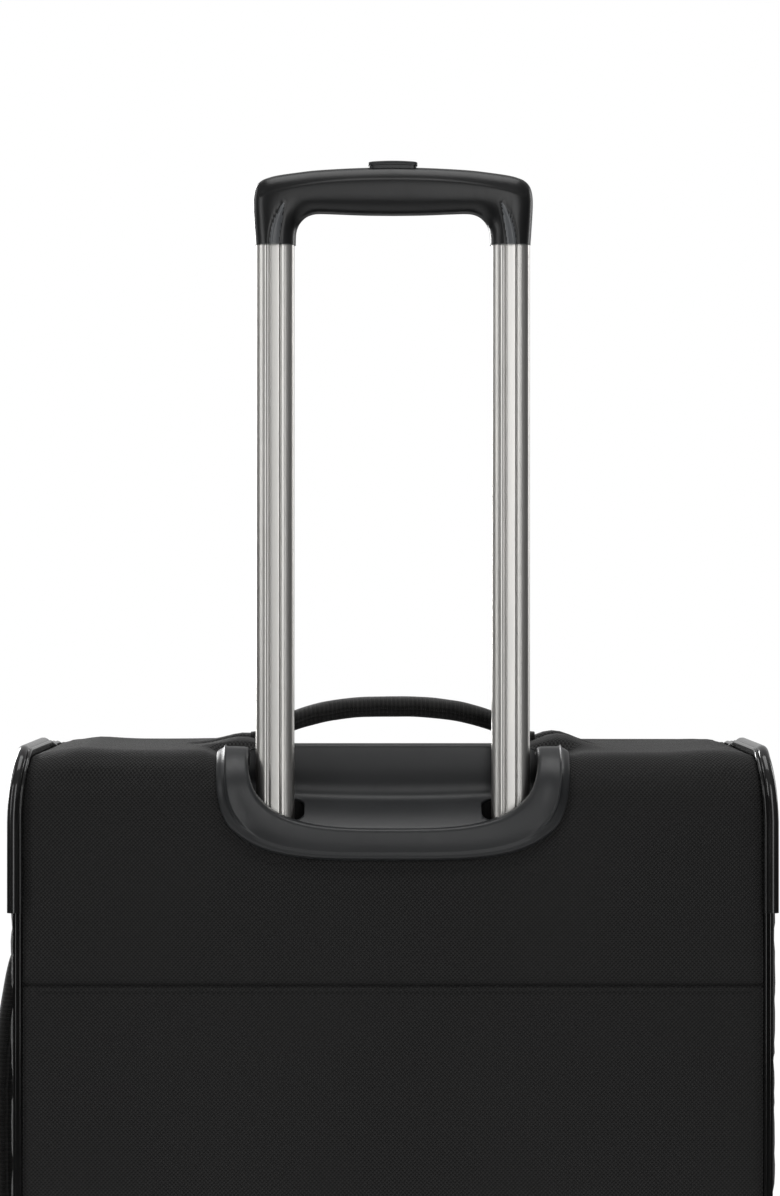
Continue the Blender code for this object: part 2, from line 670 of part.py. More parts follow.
# ---------------------------------------------------------------- lid and zips
def build_lid(mats, pivot):
    """Lid tray, its zip tape and piping, the mesh panel and two pockets."""
    outer = rounded_rect(-LID_HALF_W, LID_LOW, LID_HALF_W, LID_HIGH, LID_R)
    inner = rounded_rect(-LID_HALF_W + WALL, LID_LOW + WALL, LID_HALF_W - WALL,
                         LID_HIGH - WALL, LID_R - WALL)
    front = rounded_rect(-LID_HALF_W + 0.006, LID_LOW + 0.006, LID_HALF_W - 0.006,
                         LID_HIGH - 0.006, LID_R - 0.006)
    mouth = ZIP_Y - GAP / 2 - TAPE_W - GAP
    levels = [(front, LID_Y), (outer, LID_Y + 0.006), (outer, mouth), (inner, mouth),
              (inner, LID_Y + WALL)]
    shell = loft([[to_3d(p, "XZ", d) for p in line] for line, d in levels])
    add("lid_shell", shell, mats["fabric"], pivot)

    path = rounded_rect(-LID_HALF_W + 0.0012, LID_LOW + 0.0012, LID_HALF_W - 0.0012,
                        LID_HIGH - 0.0012, LID_R - 0.001)
    path = [Vector((x, LID_Y + 0.0012, z)) for x, z in path]
    piping = sweep(path, (0, 1, 0), circle_section(0.0022, 8), True)
    add("lid_piping", piping, mats["gloss"], pivot)

    inset = 0.0015
    tape_out = rounded_rect(-LID_HALF_W + inset, LID_LOW + inset, LID_HALF_W - inset,
                            LID_HIGH - inset, LID_R - inset)
    inset = 0.0045
    tape_in = rounded_rect(-LID_HALF_W + inset, LID_LOW + inset, LID_HALF_W - inset,
                           LID_HIGH - inset, LID_R - inset)
    low = ZIP_Y - GAP / 2 - TAPE_W
    tape = ring_prism(tape_out, tape_in, "XZ", low, low + TAPE_W)
    add("lid_zip_tape", tape, mats["zip"], pivot)
    low = ZIP_Y + GAP / 2
    tape = ring_prism(tape_out, tape_in, "XZ", low, low + TAPE_W)
    add("case_zip_tape", tape, mats["zip"])

    panel = rounded_rect(-0.185, 0.085, 0.185, 0.560, 0.02)
    add("mesh_panel", prism(panel, "XZ", -0.1270, -0.1255), mats["mesh"], pivot)

    for name, z0, z1, face in (("front_pocket", 0.062, 0.395, -0.1500),
                               ("upper_pocket", 0.425, 0.605, -0.1480)):
        rim = rounded_rect(-POCKET_HALF_W, z0, POCKET_HALF_W, z1, 0.020)
        crown = rounded_rect(-POCKET_HALF_W + 0.005, z0 + 0.005, POCKET_HALF_W - 0.005,
                             z1 - 0.005, 0.016)
        hollow = rounded_rect(-POCKET_HALF_W + 0.004, z0 + 0.004, POCKET_HALF_W - 0.004,
                              z1 - 0.004, 0.017)
        seat = LID_Y - GAP
        levels = [(crown, face), (rim, face + 0.005), (rim, seat), (hollow, seat),
                  (hollow, face + 0.004)]
        pocket = loft([[to_3d(p, "XZ", d) for p in line] for line, d in levels])
        add(name, pocket, mats["fabric"], pivot)


def build_main_zip(mats, sliders, pulls):
    """Two sliders on the free edge of the case, each with a pull tab."""
    face = 0.2228
    for key in ("upper", "lower"):
        z = sliders[key].location.z
        line = rounded_rect(ZIP_Y - 0.0045, z - 0.007, ZIP_Y + 0.0045, z + 0.007, 0.002, 2)
        body = prism(line, "YZ", face, face + 0.0026)
        add(f"main_slider_{key}", body, mats["steel"], sliders[key])
        high = z + 0.0007
        outline = rounded_rect(ZIP_Y - 0.0035, high - PULL_L, ZIP_Y + 0.0035, high, 0.0025, 2)
        tab = prism(outline, "YZ", face + 0.0030, face + 0.0044)
        add(f"main_pull_{key}", tab, mats["steel"], pulls[key])


def build_pocket_zips(mats, sliders, pulls):
    """One slider and pull tab on each pocket."""
    for key, face in (("front", -0.1500), ("top", -0.1480)):
        x = sliders[key].location.x
        z = sliders[key].location.z
        line = rounded_rect(x - 0.006, z - 0.004, x + 0.006, z + 0.004, 0.002, 2)
        body = prism(line, "XZ", face - 0.0026, face - GAP)
        add(f"{key}_slider", body, mats["steel"], sliders[key])
        high = z + 0.00055
        line = rounded_rect(x - 0.0035, high - PULL_L, x + 0.0035, high, 0.0025, 2)
        tab = prism(line, "XZ", face - 0.0040, face - 0.0029)
        add(f"{key}_pull", tab, mats["steel"], pulls[key])


# ---------------------------------------------------------------- assembly
def clear_scene():
    """Remove whatever the file held."""
    for obj in list(bpy.data.objects):
        bpy.data.objects.remove(obj, do_unlink=True)


def top_place(along, across, out):
    """From handle directions to space, on the top panel."""
    return Vector((along, TOP_HANDLE_Y + across, CASE_TOP + AXIS_LIFT + out))


def side_place(along, across, out):
    """From handle directions to space, on the right side panel."""
    return Vector((SIDE_X + AXIS_LIFT + out, across, SIDE_HANDLE_Z + along))


def main():
    """Build every piece."""
    clear_scene()
    mats = {
        "fabric": material("fabric", (0.016, 0.016, 0.017), 0.85),
        "lining": material("lining", (0.05, 0.05, 0.055), 0.8),
        "webbing": material("webbing", (0.02, 0.02, 0.021), 0.75),
        "mesh": material("mesh", (0.03, 0.03, 0.033), 0.8),
        "zip": material("zip", (0.015, 0.015, 0.016), 0.6),
        "gloss": material("gloss", (0.012, 0.012, 0.012), 0.15),
        "plastic": material("plastic", (0.045, 0.048, 0.052), 0.42),
        "grip": material("grip", (0.022, 0.023, 0.025), 0.35),
        "board": material("board", (0.08, 0.08, 0.08), 0.5),
        "hub": material("hub", (0.06, 0.06, 0.065), 0.4),
        "rubber": material("rubber", (0.018, 0.018, 0.018), 0.8),
        "aluminium": material("aluminium", (0.72, 0.70, 0.66), 0.35, 1.0),
        "steel": material("steel", (0.35, 0.35, 0.36), 0.35, 1.0),
    }
    build_shell(mats)
    build_recess(mats)
    build_inside(mats)

    trolley = pivot_at("trolley_pivot", (0, TUBE_Y, LEG_BOTTOM))
    release = pivot_at("release_pivot", (0, TUBE_Y, GRIP_TOP))
    pins = {side: pivot_at(f"pin_pivot_{side}", (sign * TUBE_X, TUBE_Y, PIN_Z))
            for side, sign in sides()}
    build_trolley(mats, trolley)
    build_release(mats, release, pins)

    top_pivot = pivot_at("top_handle_pivot", top_place(0, 0, 0))
    side_pivot = pivot_at("side_handle_pivot", side_place(0, 0, 0))
    build_carry_handle("top_handle", top_place, TOP_HANDLE_HALF, TOP_HANDLE_RISE, mats, top_pivot)
    side_rise = HALF_SPAN - SIDE_X - AXIS_LIFT - HANDLE_T / 2
    build_carry_handle("side_handle", side_place, SIDE_HANDLE_HALF, side_rise, mats, side_pivot)

    wheels = {side: pivot_at(f"wheel_pivot_{side}", (sign * WHEEL_X, WHEEL_Y, WHEEL_R))
              for side, sign in sides()}
    build_wheels(mats, wheels)
    build_feet(mats)

    build_lid(mats, pivot_at("lid_pivot", (HINGE_X, ZIP_Y, 0)))
    main_z = {"upper": 0.540, "lower": 0.500}
    sliders = {key: pivot_at(f"slider_pivot_{key}", (0.2228, ZIP_Y, z))
               for key, z in main_z.items()}
    pulls = {key: pivot_at(f"pull_pivot_{key}", (0.2265, ZIP_Y, z)) for key, z in main_z.items()}
    build_main_zip(mats, sliders, pulls)
    pocket_at = {"front": (-0.150, -0.150, 0.372), "top": (-0.150, -0.148, 0.582)}
    sliders = {key: pivot_at(f"slider_pivot_{key}", at) for key, at in pocket_at.items()}
    pulls = {key: pivot_at(f"pull_pivot_{key}", (x, y - 0.00345, z))
             for key, (x, y, z) in pocket_at.items()}
    build_pocket_zips(mats, sliders, pulls)


main()
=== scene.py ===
"""Looks of the softside upright suitcase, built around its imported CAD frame.

Metres, +Z up. The back of the case, with the handle recess, faces +Y.
"""
import json
import math

import bmesh
import bpy
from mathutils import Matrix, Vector, noise

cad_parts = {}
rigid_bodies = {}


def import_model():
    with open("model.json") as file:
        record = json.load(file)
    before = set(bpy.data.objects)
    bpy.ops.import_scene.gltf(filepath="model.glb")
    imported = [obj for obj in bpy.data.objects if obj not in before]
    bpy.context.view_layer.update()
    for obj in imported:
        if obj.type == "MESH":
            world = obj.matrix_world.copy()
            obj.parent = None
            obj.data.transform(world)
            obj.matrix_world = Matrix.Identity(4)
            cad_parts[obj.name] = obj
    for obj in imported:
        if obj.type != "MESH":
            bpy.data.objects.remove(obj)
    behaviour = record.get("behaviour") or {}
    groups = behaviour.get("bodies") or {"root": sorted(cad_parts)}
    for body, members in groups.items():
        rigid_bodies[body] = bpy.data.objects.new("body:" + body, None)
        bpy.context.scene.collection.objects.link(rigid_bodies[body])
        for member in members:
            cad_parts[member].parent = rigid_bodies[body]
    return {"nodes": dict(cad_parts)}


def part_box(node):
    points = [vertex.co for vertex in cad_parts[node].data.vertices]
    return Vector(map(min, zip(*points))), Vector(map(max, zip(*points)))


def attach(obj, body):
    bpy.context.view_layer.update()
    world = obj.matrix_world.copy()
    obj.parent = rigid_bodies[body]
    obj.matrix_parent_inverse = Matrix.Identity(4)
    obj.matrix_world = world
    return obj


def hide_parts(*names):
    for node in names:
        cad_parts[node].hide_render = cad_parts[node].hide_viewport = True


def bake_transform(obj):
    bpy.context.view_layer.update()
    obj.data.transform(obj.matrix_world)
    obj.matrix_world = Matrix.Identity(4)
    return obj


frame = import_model()
for extra in [o for o in bpy.data.objects if o.type in {"LIGHT", "CAMERA"} or o.name == "Cube"]:
    bpy.data.objects.remove(extra)
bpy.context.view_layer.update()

# ---------------------------------------------------------------- places from the frame
WRAP_LO, WRAP_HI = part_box("wrap_panel")
LID_LO, LID_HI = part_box("lid_shell")
TUBE_LO, TUBE_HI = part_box("sliding_tube_right")
GRIP_LO, GRIP_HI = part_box("grip")
TOP_HANDLE_LO, TOP_HANDLE_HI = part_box("top_handle")
SIDE_HANDLE_LO, SIDE_HANDLE_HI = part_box("side_handle")
HOUSING_LO, HOUSING_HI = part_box("wheel_housing_right")

CASE_TOP = WRAP_HI.z
CASE_BOTTOM = WRAP_LO.z
BACK_Y = WRAP_HI.y
CASE_FRONT = WRAP_LO.y
WRAP_X = WRAP_HI.x
SIDE_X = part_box("side_panel_right")[1].x
RIM_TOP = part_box("handle_rim")[1].z + 0.001
ZIP_Y = (LID_HI.y + CASE_FRONT) / 2
EDGE_R = 0.024
TUBE_X = (TUBE_LO.x + TUBE_HI.x) / 2
TUBE_Y = (TUBE_LO.y + TUBE_HI.y) / 2
SEAM_Z = CASE_TOP - 0.1334        # seam across the back panel
SEAM_INSET = 0.0022               # side panels end this far inside the outline of the case
SIDES = (("left", -1), ("right", 1))
CORNERS = ((-1, -1), (1, -1), (1, 1), (-1, 1))

# the top corners of the case lean inwards, as stuffed fabric does
LEAN = 0.0165
LEAN_FROM = CASE_TOP - 0.038


# ---------------------------------------------------------------- small maths
def smooth(t):
    """Smooth step from 0 to 1."""
    t = min(1.0, max(0.0, t))
    return t * t * (3 - 2 * t)


def bell(x, width):
    """Bell curve, 1 at the middle."""
    return math.exp(-(x / width) ** 2)


def lerp(a, b, t):
    """Straight blend from a to b."""
    return a + (b - a) * t


def spread(low, high, step):
    """Evenly spaced values from low to high, no further apart than step."""
    count = max(1, math.ceil(abs(high - low) / step))
    return [lerp(low, high, i / count) for i in range(count + 1)]


def merged(*lists):
    """Sorted values of several lists, without near doubles."""
    values = []
    for value in sorted(v for one in lists for v in one):
        if not values or value - values[-1] > 2e-4:
            values.append(value)
    return values


def near_ends(low, high, *steps):
    """Values just inside both ends of a range, or on both sides of a single value."""
    return [low + s for s in steps] + [high - s for s in steps]


def lean(point):
    """Pull a point of the case inwards near its top corners."""
    share = min(1.0, max(0.0, (point.z - LEAN_FROM) / (CASE_TOP - LEAN_FROM)))
    return Vector((point.x * (1 - LEAN * share ** 1.6), point.y, point.z))


def wobble(x, y, z, scale, seed=0.0):
    """Smooth random height between -1 and 1."""
    return noise.noise(Vector((x / scale + seed, y / scale - seed, z / scale + 2 * seed)))


def signed_power(value, power):
    """Power that keeps the sign."""
    return math.copysign(abs(value) ** power, value)


def arc(cx, cy, radius, start, end, steps):
    """Points along an arc, with its angles in degrees."""
    angles = [math.radians(lerp(start, end, k / steps)) for k in range(steps + 1)]
    return [(cx + radius * math.cos(a), cy + radius * math.sin(a)) for a in angles]


def circle(steps, radius=1.0):
    """Points round a circle."""
    return arc(0, 0, radius, 0, 360, steps)[:-1]


def rounded_rect(x0, z0, x1, z1, radius, step=0.004, turn=6):
    """Closed outline of a rectangle with round corners, evenly filled in."""
    corners = [(x1 - radius, z0 + radius, -90), (x1 - radius, z1 - radius, 0),
               (x0 + radius, z1 - radius, 90), (x0 + radius, z0 + radius, 180)]
    arcs = [arc(cx, cz, radius, start, start + 90, turn) for cx, cz, start in corners]
    points = []
    for here, after in zip(arcs, arcs[1:] + arcs[:1]):
        points += here
        (x, z), (next_x, next_z) = here[-1], after[0]
        count = max(1, round(math.hypot(next_x - x, next_z - z) / step))
        points += [(lerp(x, next_x, k / count), lerp(z, next_z, k / count)) for k in range(1, count)]
    return points


def run_lengths(outline):
    """Length along an outline at each of its points."""
    lengths = [0.0]
    for a, b in zip(outline, outline[1:]):
        lengths.append(lengths[-1] + math.dist(a, b))
    return lengths


def edge_distance(x, z, x0, z0, x1, z1):
    """Distance to the nearest side of a rectangle."""
    return max(0.0, min(x - x0, x1 - x, z - z0, z1 - z))


# ---------------------------------------------------------------- the case profile
TOP_RUN = BACK_Y - EDGE_R - CASE_FRONT
QUARTER = EDGE_R * math.pi / 2
BACK_RUN = CASE_TOP - CASE_BOTTOM - 2 * EDGE_R
PATH_LENGTH = 2 * TOP_RUN + 2 * QUARTER + BACK_RUN


def profile(s):
    """Point and outward direction (y, z) at arc length s: top, back, then bottom."""
    forward = max(0.0, TOP_RUN - s, s - PATH_LENGTH + TOP_RUN)
    down = min(BACK_RUN, max(0.0, s - TOP_RUN - QUARTER))
    turned = min(s, PATH_LENGTH - TOP_RUN) - TOP_RUN - down
    a = math.pi / 2 - max(0.0, turned) / EDGE_R
    out = (math.cos(a), math.sin(a))
    return (BACK_Y - EDGE_R * (1 - out[0]) - forward, CASE_TOP - down - EDGE_R * (1 - out[1])), out


def on_profile(s, x, height):
    """Point at arc length s and place x, lifted off the case profile by height."""
    (y, z), (ny, nz) = profile(s)
    return Vector((x, y + ny * height, z + nz * height))


def on_case(s, x, height):
    """The same point, with the lean of the soft case."""
    return lean(on_profile(s, x, height))


def back_s(z):
    """Arc length at height z on the back; it runs on over the top edge past that."""
    return TOP_RUN + QUARTER + (CASE_TOP - EDGE_R - z)


# ---------------------------------------------------------------- making pieces
def placed(name, data):
    """New object in the scene."""
    obj = bpy.data.objects.new(name, data)
    bpy.context.scene.collection.objects.link(obj)
    return obj


def adjust(thing, **settings):
    """Set several properties of a modifier or its settings."""
    for key, value in settings.items():
        setattr(thing, key, value)


def piece(name, mesh, body, finish, replaces=(), thick=0.0):
    """Put a mesh in the scene as a piece with a finish, riding on a CAD body."""
    obj = placed(name, mesh)
    mesh.materials.append(MATERIALS[finish])
    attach(obj, body)
    if replaces:
        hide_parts(*replaces)
    if thick:
        thicken(obj, thick)
    return obj


def thicken(obj, thickness):
    """Give a sheet a body, grown to the side that its faces look away from."""
    adjust(obj.modifiers.new("thickness", "SOLIDIFY"), thickness=thickness, offset=-1)


def cleaned(mesh, outwards):
    """Drop loose points and, if asked, turn the faces outwards."""
    bm = bmesh.new()
    bm.from_mesh(mesh)
    bmesh.ops.delete(bm, geom=[v for v in bm.verts if not v.link_faces], context="VERTS")
    if outwards:
        bmesh.ops.recalc_face_normals(bm, faces=bm.faces)
    bm.to_mesh(mesh)
    bm.free()
    return mesh


def grid(rows, weave=None, ring=False, loop=False, caps=False, skip=None):
    """Mesh through rows of points. ring closes each row, loop joins the last row to the first."""
    wide = len(rows[0])
    tall = len(rows)
    faces = []
    for i in range(tall if loop else tall - 1):
        below = ((i + 1) % tall) * wide
        for j in range(wide if ring else wide - 1):
            k = (j + 1) % wide
            if not (skip and skip(i, j)):
                faces.append((i * wide + j, i * wide + k, below + k, below + j))
    if caps:
        faces.append(tuple(range(wide))[::-1])
        faces.append(tuple((tall - 1) * wide + j for j in range(wide)))
    mesh = bpy.data.meshes.new("surface")
    mesh.from_pydata([tuple(p) for row in rows for p in row], [], faces)
    if weave:
        layer = mesh.attributes.new("weave", "FLOAT_VECTOR", "POINT")
        layer.data.foreach_set("vector", [c for row in weave for u, v in row for c in (u, v, 0.0)])
    cleaned(mesh, ring or loop or caps)
    mesh.shade_smooth()
    mesh.set_sharp_from_angle(angle=math.radians(55))
    return mesh


def surface(us, vs, place, flip=False, **how):
    """Mesh over two lists of values; place gives a point and its place (across, along) in the weave."""
    net = [[place(u, v) for v in (vs[::-1] if flip else vs)] for u in us]
    points = [[point for point, _ in row] for row in net]
    return grid(points, [[threads for _, threads in row] for row in net], **how)


def sheet(lo, hi, radius, xs, zs, place, flip=False):
    """Upright mesh over a rectangle whose corners are drawn in to arcs."""
    def drawn_in(z, x):
        cx = min(max(x, lo[0] + radius), hi[0] - radius)
        cz = min(max(z, lo[1] + radius), hi[1] - radius)
        dx, dz = x - cx, z - cz
        flat = math.hypot(dx, dz)
        reach = max(abs(dx), abs(dz)) / flat if flat > 1e-9 else 1.0
        x, z = cx + dx * reach, cz + dz * reach
        return place(x, z, edge_distance(x, z, *lo, *hi)), (x, z)
    return surface(zs, xs, drawn_in, flip)


def solids_mesh(solids):
    """Mesh of many small capped solids, each given by the rings of points it runs through."""
    points, faces = [], []
    for rings in solids:
        wide = len(rings[0])
        first = len(points)
        points.extend(tuple(p) for ring in rings for p in ring)
        last = len(points) - wide
        for low in range(first, last, wide):
            for k in range(wide):
                m = (k + 1) % wide
                faces.append((low + k, low + m, low + wide + m, low + wide + k))
        faces.append(tuple(range(first, first + wide))[::-1])
        faces.append(tuple(range(last, last + wide)))
    mesh = bpy.data.meshes.new("solids")
    mesh.from_pydata(points, [], faces)
    return cleaned(mesh, True)


def stuffed(mesh, held, spare, cap):
    """Fill a sheet out with a cloth run: held points stay put, spare is extra cloth to wrinkle."""
    scene = bpy.context.scene
    obj = placed("stuffing", mesh)
    start = [v.co.copy() for v in mesh.vertices]
    fixed = [v.index for v in mesh.vertices if held(v.co)]
    obj.vertex_groups.new(name="held").add(fixed, 1.0, "REPLACE")
    cloth = obj.modifiers.new("filling", "CLOTH")
    cloth.settings.effector_weights.gravity = 0.0
    adjust(cloth.settings, quality=6, use_pressure=True, uniform_pressure_force=4.0, shrink_min=-spare,
           vertex_group_mass="held", tension_stiffness=25, compression_stiffness=25, bending_stiffness=0.3)
    adjust(cloth.collision_settings, use_collision=False, use_self_collision=False)
    last_frame = 20
    adjust(cloth.point_cache, frame_start=1, frame_end=last_frame)
    for number in range(1, last_frame + 1):
        scene.frame_set(number)
    graph = bpy.context.evaluated_depsgraph_get()
    filled = obj.evaluated_get(graph).to_mesh()
    moves = [v.co - p for v, p in zip(filled.vertices, start)]
    obj.evaluated_get(graph).to_mesh_clear()
    scene.frame_set(1)
    bpy.data.objects.remove(obj)
    for vertex, point, move in zip(mesh.vertices, start, moves):
        vertex.co = point + move * (cap / max(cap, move.length))
    return mesh


def soften(obj, width, angle=30):
    """Round the edges of a hard piece."""
    adjust(obj.modifiers.new("rounding", "BEVEL"), width=width, segments=2, limit_method="ANGLE",
           angle_limit=math.radians(angle), harden_normals=True)


def cut(obj, cutter):
    """Cut the cutter's shape out of a piece and turn its modifiers into plain mesh."""
    tool = placed("cutter", cutter)
    adjust(obj.modifiers.new("cut", "BOOLEAN"), object=tool, solver="EXACT")
    graph = bpy.context.evaluated_depsgraph_get()
    mesh = bpy.data.meshes.new_from_object(obj.evaluated_get(graph))
    obj.modifiers.clear()
    obj.data = mesh
    bpy.data.objects.remove(tool)


def swept(path, section, out, shape=lambda p: p):
    """Rings of a section carried along a closed path in the upright plane that faces out."""
    rows = []
    for i, point in enumerate(path):
        side = (path[(i + 1) % len(path)] - path[i - 1]).cross(out).normalized()
        rows.append([shape(point + side * s + out * o) for s, o in section])
    return rows


def piping(name, outline, y, radius, replaces=(), shape=lambda p: p):
    """Closed round piping on the lid along an outline at depth y."""
    path = [Vector((x, y, z)) for x, z in outline]
    rows = swept(path, circle(10, radius), Vector((0, -1, 0)), shape)
    piece(name, grid(rows, ring=True, loop=True), "lid", "gloss", replaces)


# ---------------------------------------------------------------- node helpers
class Nodes:
    """Short way to wire up the node tree of a material or world."""

    def __init__(self, owner):
        self.owner = owner
        owner.use_nodes = True
        self.tree = owner.node_tree

    def put(self, socket, value):
        """Link a socket to another, or set its value."""
        if isinstance(value, bpy.types.NodeSocket):
            self.tree.links.new(value, socket)
        else:
            socket.default_value = value

    def node(self, kind, **values):
        """Add a node; keys are inputs by name, or properties if there is no such input."""
        made = self.tree.nodes.new(kind)
        for key, value in values.items():
            label = key.replace("_", " ").title()
            if label in made.inputs:
                self.put(made.inputs[label], value)
            else:
                setattr(made, key, value)
        return made

    def math(self, operation, *values):
        """One arithmetic node."""
        made = self.node("ShaderNodeMath", operation=operation)
        for socket, value in zip(made.inputs, values):
            self.put(socket, value)
        return made.outputs[0]

    def ramp(self, value, low, high, from_low=0.0, from_high=1.0):
        """Map a range of values to another range, clamped."""
        made = self.node("ShaderNodeMapRange")
        for socket, given in zip(made.inputs, (value, from_low, from_high, low, high)):
            self.put(socket, given)
        return made.outputs[0]

    def mix(self, factor, a, b):
        """Blend two colours."""
        made = self.node("ShaderNodeMix", data_type="RGBA")
        self.put(made.inputs[0], factor)
        self.put(made.inputs[6], a)
        self.put(made.inputs[7], b)
        return made.outputs[2]

    def noise(self, vector, scale, detail=2.0):
        """Noise height between 0 and 1."""
        return self.node("ShaderNodeTexNoise", vector=vector, scale=scale, detail=detail).outputs[0]

    def object_space(self, scale=(1, 1, 1)):
        """Coordinates in metres that stay with the piece, stretched by scale."""
        where = self.node("ShaderNodeTexCoord").outputs["Object"]
        return self.node("ShaderNodeMapping", vector=where, scale=scale).outputs[0]

    def threads(self):
        """Places across and along the threads, from the weave attribute."""
        weave = self.node("ShaderNodeAttribute", attribute_name="weave").outputs["Vector"]
        return self.node("ShaderNodeSeparateXYZ", vector=weave).outputs[:2]

    def bump(self, height, distance, strength):
        """Bump normal from a height."""
        return self.node("ShaderNodeBump", height=height, distance=distance, strength=strength).outputs[0]

    def finish(self, **inputs):
        """Set the shader's inputs and return the material."""
        shader = self.tree.nodes["Principled BSDF"]
        for key, value in inputs.items():
            self.put(shader.inputs[key.replace("_", " ")], value)
        return self.owner


def grey(value, tint=(1.0, 1.0, 1.0)):
    """Colour of a given brightness."""
    return (value * tint[0], value * tint[1], value * tint[2], 1.0)


# ---------------------------------------------------------------- materials
def fabric_material(name, base, pitch=0.00235, depth=0.0004, sheen=0.12):
    """Honeycomb dobby weave."""
    n = Nodes(bpy.data.materials.new(name))
    across, along = n.threads()
    turn = 2 * math.pi / pitch
    cols = n.math("COSINE", n.math("MULTIPLY", across, turn))
    picks = n.math("COSINE", n.math("MULTIPLY", along, turn))
    cell = n.math("MULTIPLY_ADD", n.math("MULTIPLY", cols, picks), 0.5, 0.5)
    ridges = n.math("COSINE", n.math("MULTIPLY", across, 2 * turn))
    thread = n.math("MULTIPLY", n.ramp(cell, 0.0, 1.0, 0.15, 0.60), 0.72)
    thread = n.math("ADD", thread, n.math("MULTIPLY_ADD", ridges, 0.14, 0.14))
    metres = n.object_space()
    height = n.math("ADD", thread, n.math("MULTIPLY", n.noise(metres, 2600.0), 0.25))
    blotch = n.ramp(n.noise(metres, 9.0, 3.0), 0.0, 0.22, 0.4, 0.75)
    light = grey(base * 2.15, (1.0, 0.985, 0.985))
    colour = n.mix(n.ramp(thread, 0.0, 1.0, 0.1, 0.9), grey(base * 0.40), light)
    colour = n.mix(blotch, colour, grey(base * 2.2, (1.0, 0.97, 0.95)))
    return n.finish(Base_Color=colour, Roughness=n.ramp(thread, 0.9, 0.62),
                    Normal=n.bump(height, depth, 0.9), Specular_IOR_Level=0.22,
                    Sheen_Weight=sheen, Sheen_Roughness=0.45, Sheen_Tint=grey(0.6))


def webbing_material(name, base):
    """Padded handle cover: cross ribs with a fine basket weave between them."""
    n = Nodes(bpy.data.materials.new(name))
    across, along = n.threads()
    rows = n.math("SINE", n.math("MULTIPLY", along, 2 * math.pi / 0.0026))
    cols = n.math("SINE", n.math("MULTIPLY", across, 2 * math.pi / 0.0017))
    cell = n.math("MULTIPLY", n.math("MULTIPLY", rows, cols), 0.3)
    fibre = n.math("MULTIPLY", n.noise(n.object_space(), 1800.0), 0.4)
    height = n.math("ADD", n.math("ADD", n.math("MULTIPLY", rows, 0.35), cell), fibre)
    light = grey(base * 2.1, (1, 0.96, 0.93))
    colour = n.mix(n.ramp(height, 0.0, 1.0, -0.4, 0.8), grey(base * 0.5), light)
    return n.finish(Base_Color=colour, Roughness=0.8, Normal=n.bump(height, 0.0003, 0.9),
                    Specular_IOR_Level=0.25, Sheen_Weight=0.3, Sheen_Roughness=0.4, Sheen_Tint=grey(0.6))


def plastic_material(name, base, roughness, grain=900.0, depth=0.00005):
    """Moulded plastic: fine spark texture, handling marks and paler rubbed edges."""
    tint = (0.95, 1.0, 1.06)
    n = Nodes(bpy.data.materials.new(name))
    metres = n.object_space()
    cloud = n.noise(metres, 22.0, 4.0)
    scuff = n.noise(n.object_space((40, 40, 6)), 8.0, 5.0)
    edge = n.node("ShaderNodeNewGeometry").outputs["Pointiness"]
    worn = n.ramp(edge, 0.0, 0.35, 0.53, 0.62)
    colour = n.mix(n.ramp(cloud, 0.0, 0.5, 0.35, 0.7), grey(base, tint), grey(base * 1.35, tint))
    colour = n.mix(worn, colour, grey(base * 2.6, tint))
    rough = n.math("ADD", n.ramp(cloud, roughness - 0.05, roughness + 0.07),
                   n.ramp(scuff, 0.0, 0.08, 0.55, 0.75))
    fine = n.noise(metres, grain, 3.0)
    return n.finish(Base_Color=colour, Roughness=rough, Normal=n.bump(fine, depth, 0.6))


def gloss_material(name, base):
    """Polished black plastic with faint waviness, dust and hairline wear."""
    n = Nodes(bpy.data.materials.new(name))
    wave = n.noise(n.object_space(), 60.0)
    dust = n.noise(n.object_space(), 700.0, 3.0)
    rough = n.math("ADD", n.ramp(wave, 0.10, 0.17), n.ramp(dust, 0.0, 0.12, 0.6, 0.8))
    colour = n.mix(n.ramp(dust, 0.0, 0.3, 0.6, 0.85), grey(base), grey(base * 3))
    return n.finish(Base_Color=colour, Roughness=rough, Normal=n.bump(wave, 0.0002, 0.15),
                    Coat_Weight=0.35, Coat_Roughness=0.06)


def brushed_material(name, colour, roughness, streak=(5200, 5200, 22)):
    """Brushed metal: long fine streaks, slightly warmer in the grooves."""
    n = Nodes(bpy.data.materials.new(name))
    lines = n.noise(n.object_space(streak), 1.0, 4.0)
    broad = n.noise(n.object_space((60, 60, 3)), 1.0)
    rough = n.math("ADD", n.ramp(lines, roughness - 0.05, roughness + 0.06, 0.3, 0.7),
                   n.ramp(broad, -0.015, 0.02))
    low = (colour[0] * 0.90, colour[1] * 0.89, colour[2] * 0.87, 1.0)
    tone = n.mix(n.ramp(lines, 0.0, 1.0, 0.35, 0.65), low, (*colour, 1.0))
    return n.finish(Base_Color=tone, Metallic=1.0, Roughness=rough, Normal=n.bump(lines, 0.000006, 0.5))


def rubber_material(name, base):
    """Matt tread rubber, greyer where it has rolled."""
    n = Nodes(bpy.data.materials.new(name))
    fine = n.noise(n.object_space(), 1200.0, 3.0)
    cloud = n.noise(n.object_space(), 45.0, 4.0)
    colour = n.mix(n.ramp(cloud, 0.0, 1.0, 0.4, 0.7), grey(base), grey(base * 2.0, (1, 0.98, 0.95)))
    return n.finish(Base_Color=colour, Roughness=n.ramp(cloud, 0.7, 0.9),
                    Normal=n.bump(fine, 0.0001, 0.7), Specular_IOR_Level=0.3)


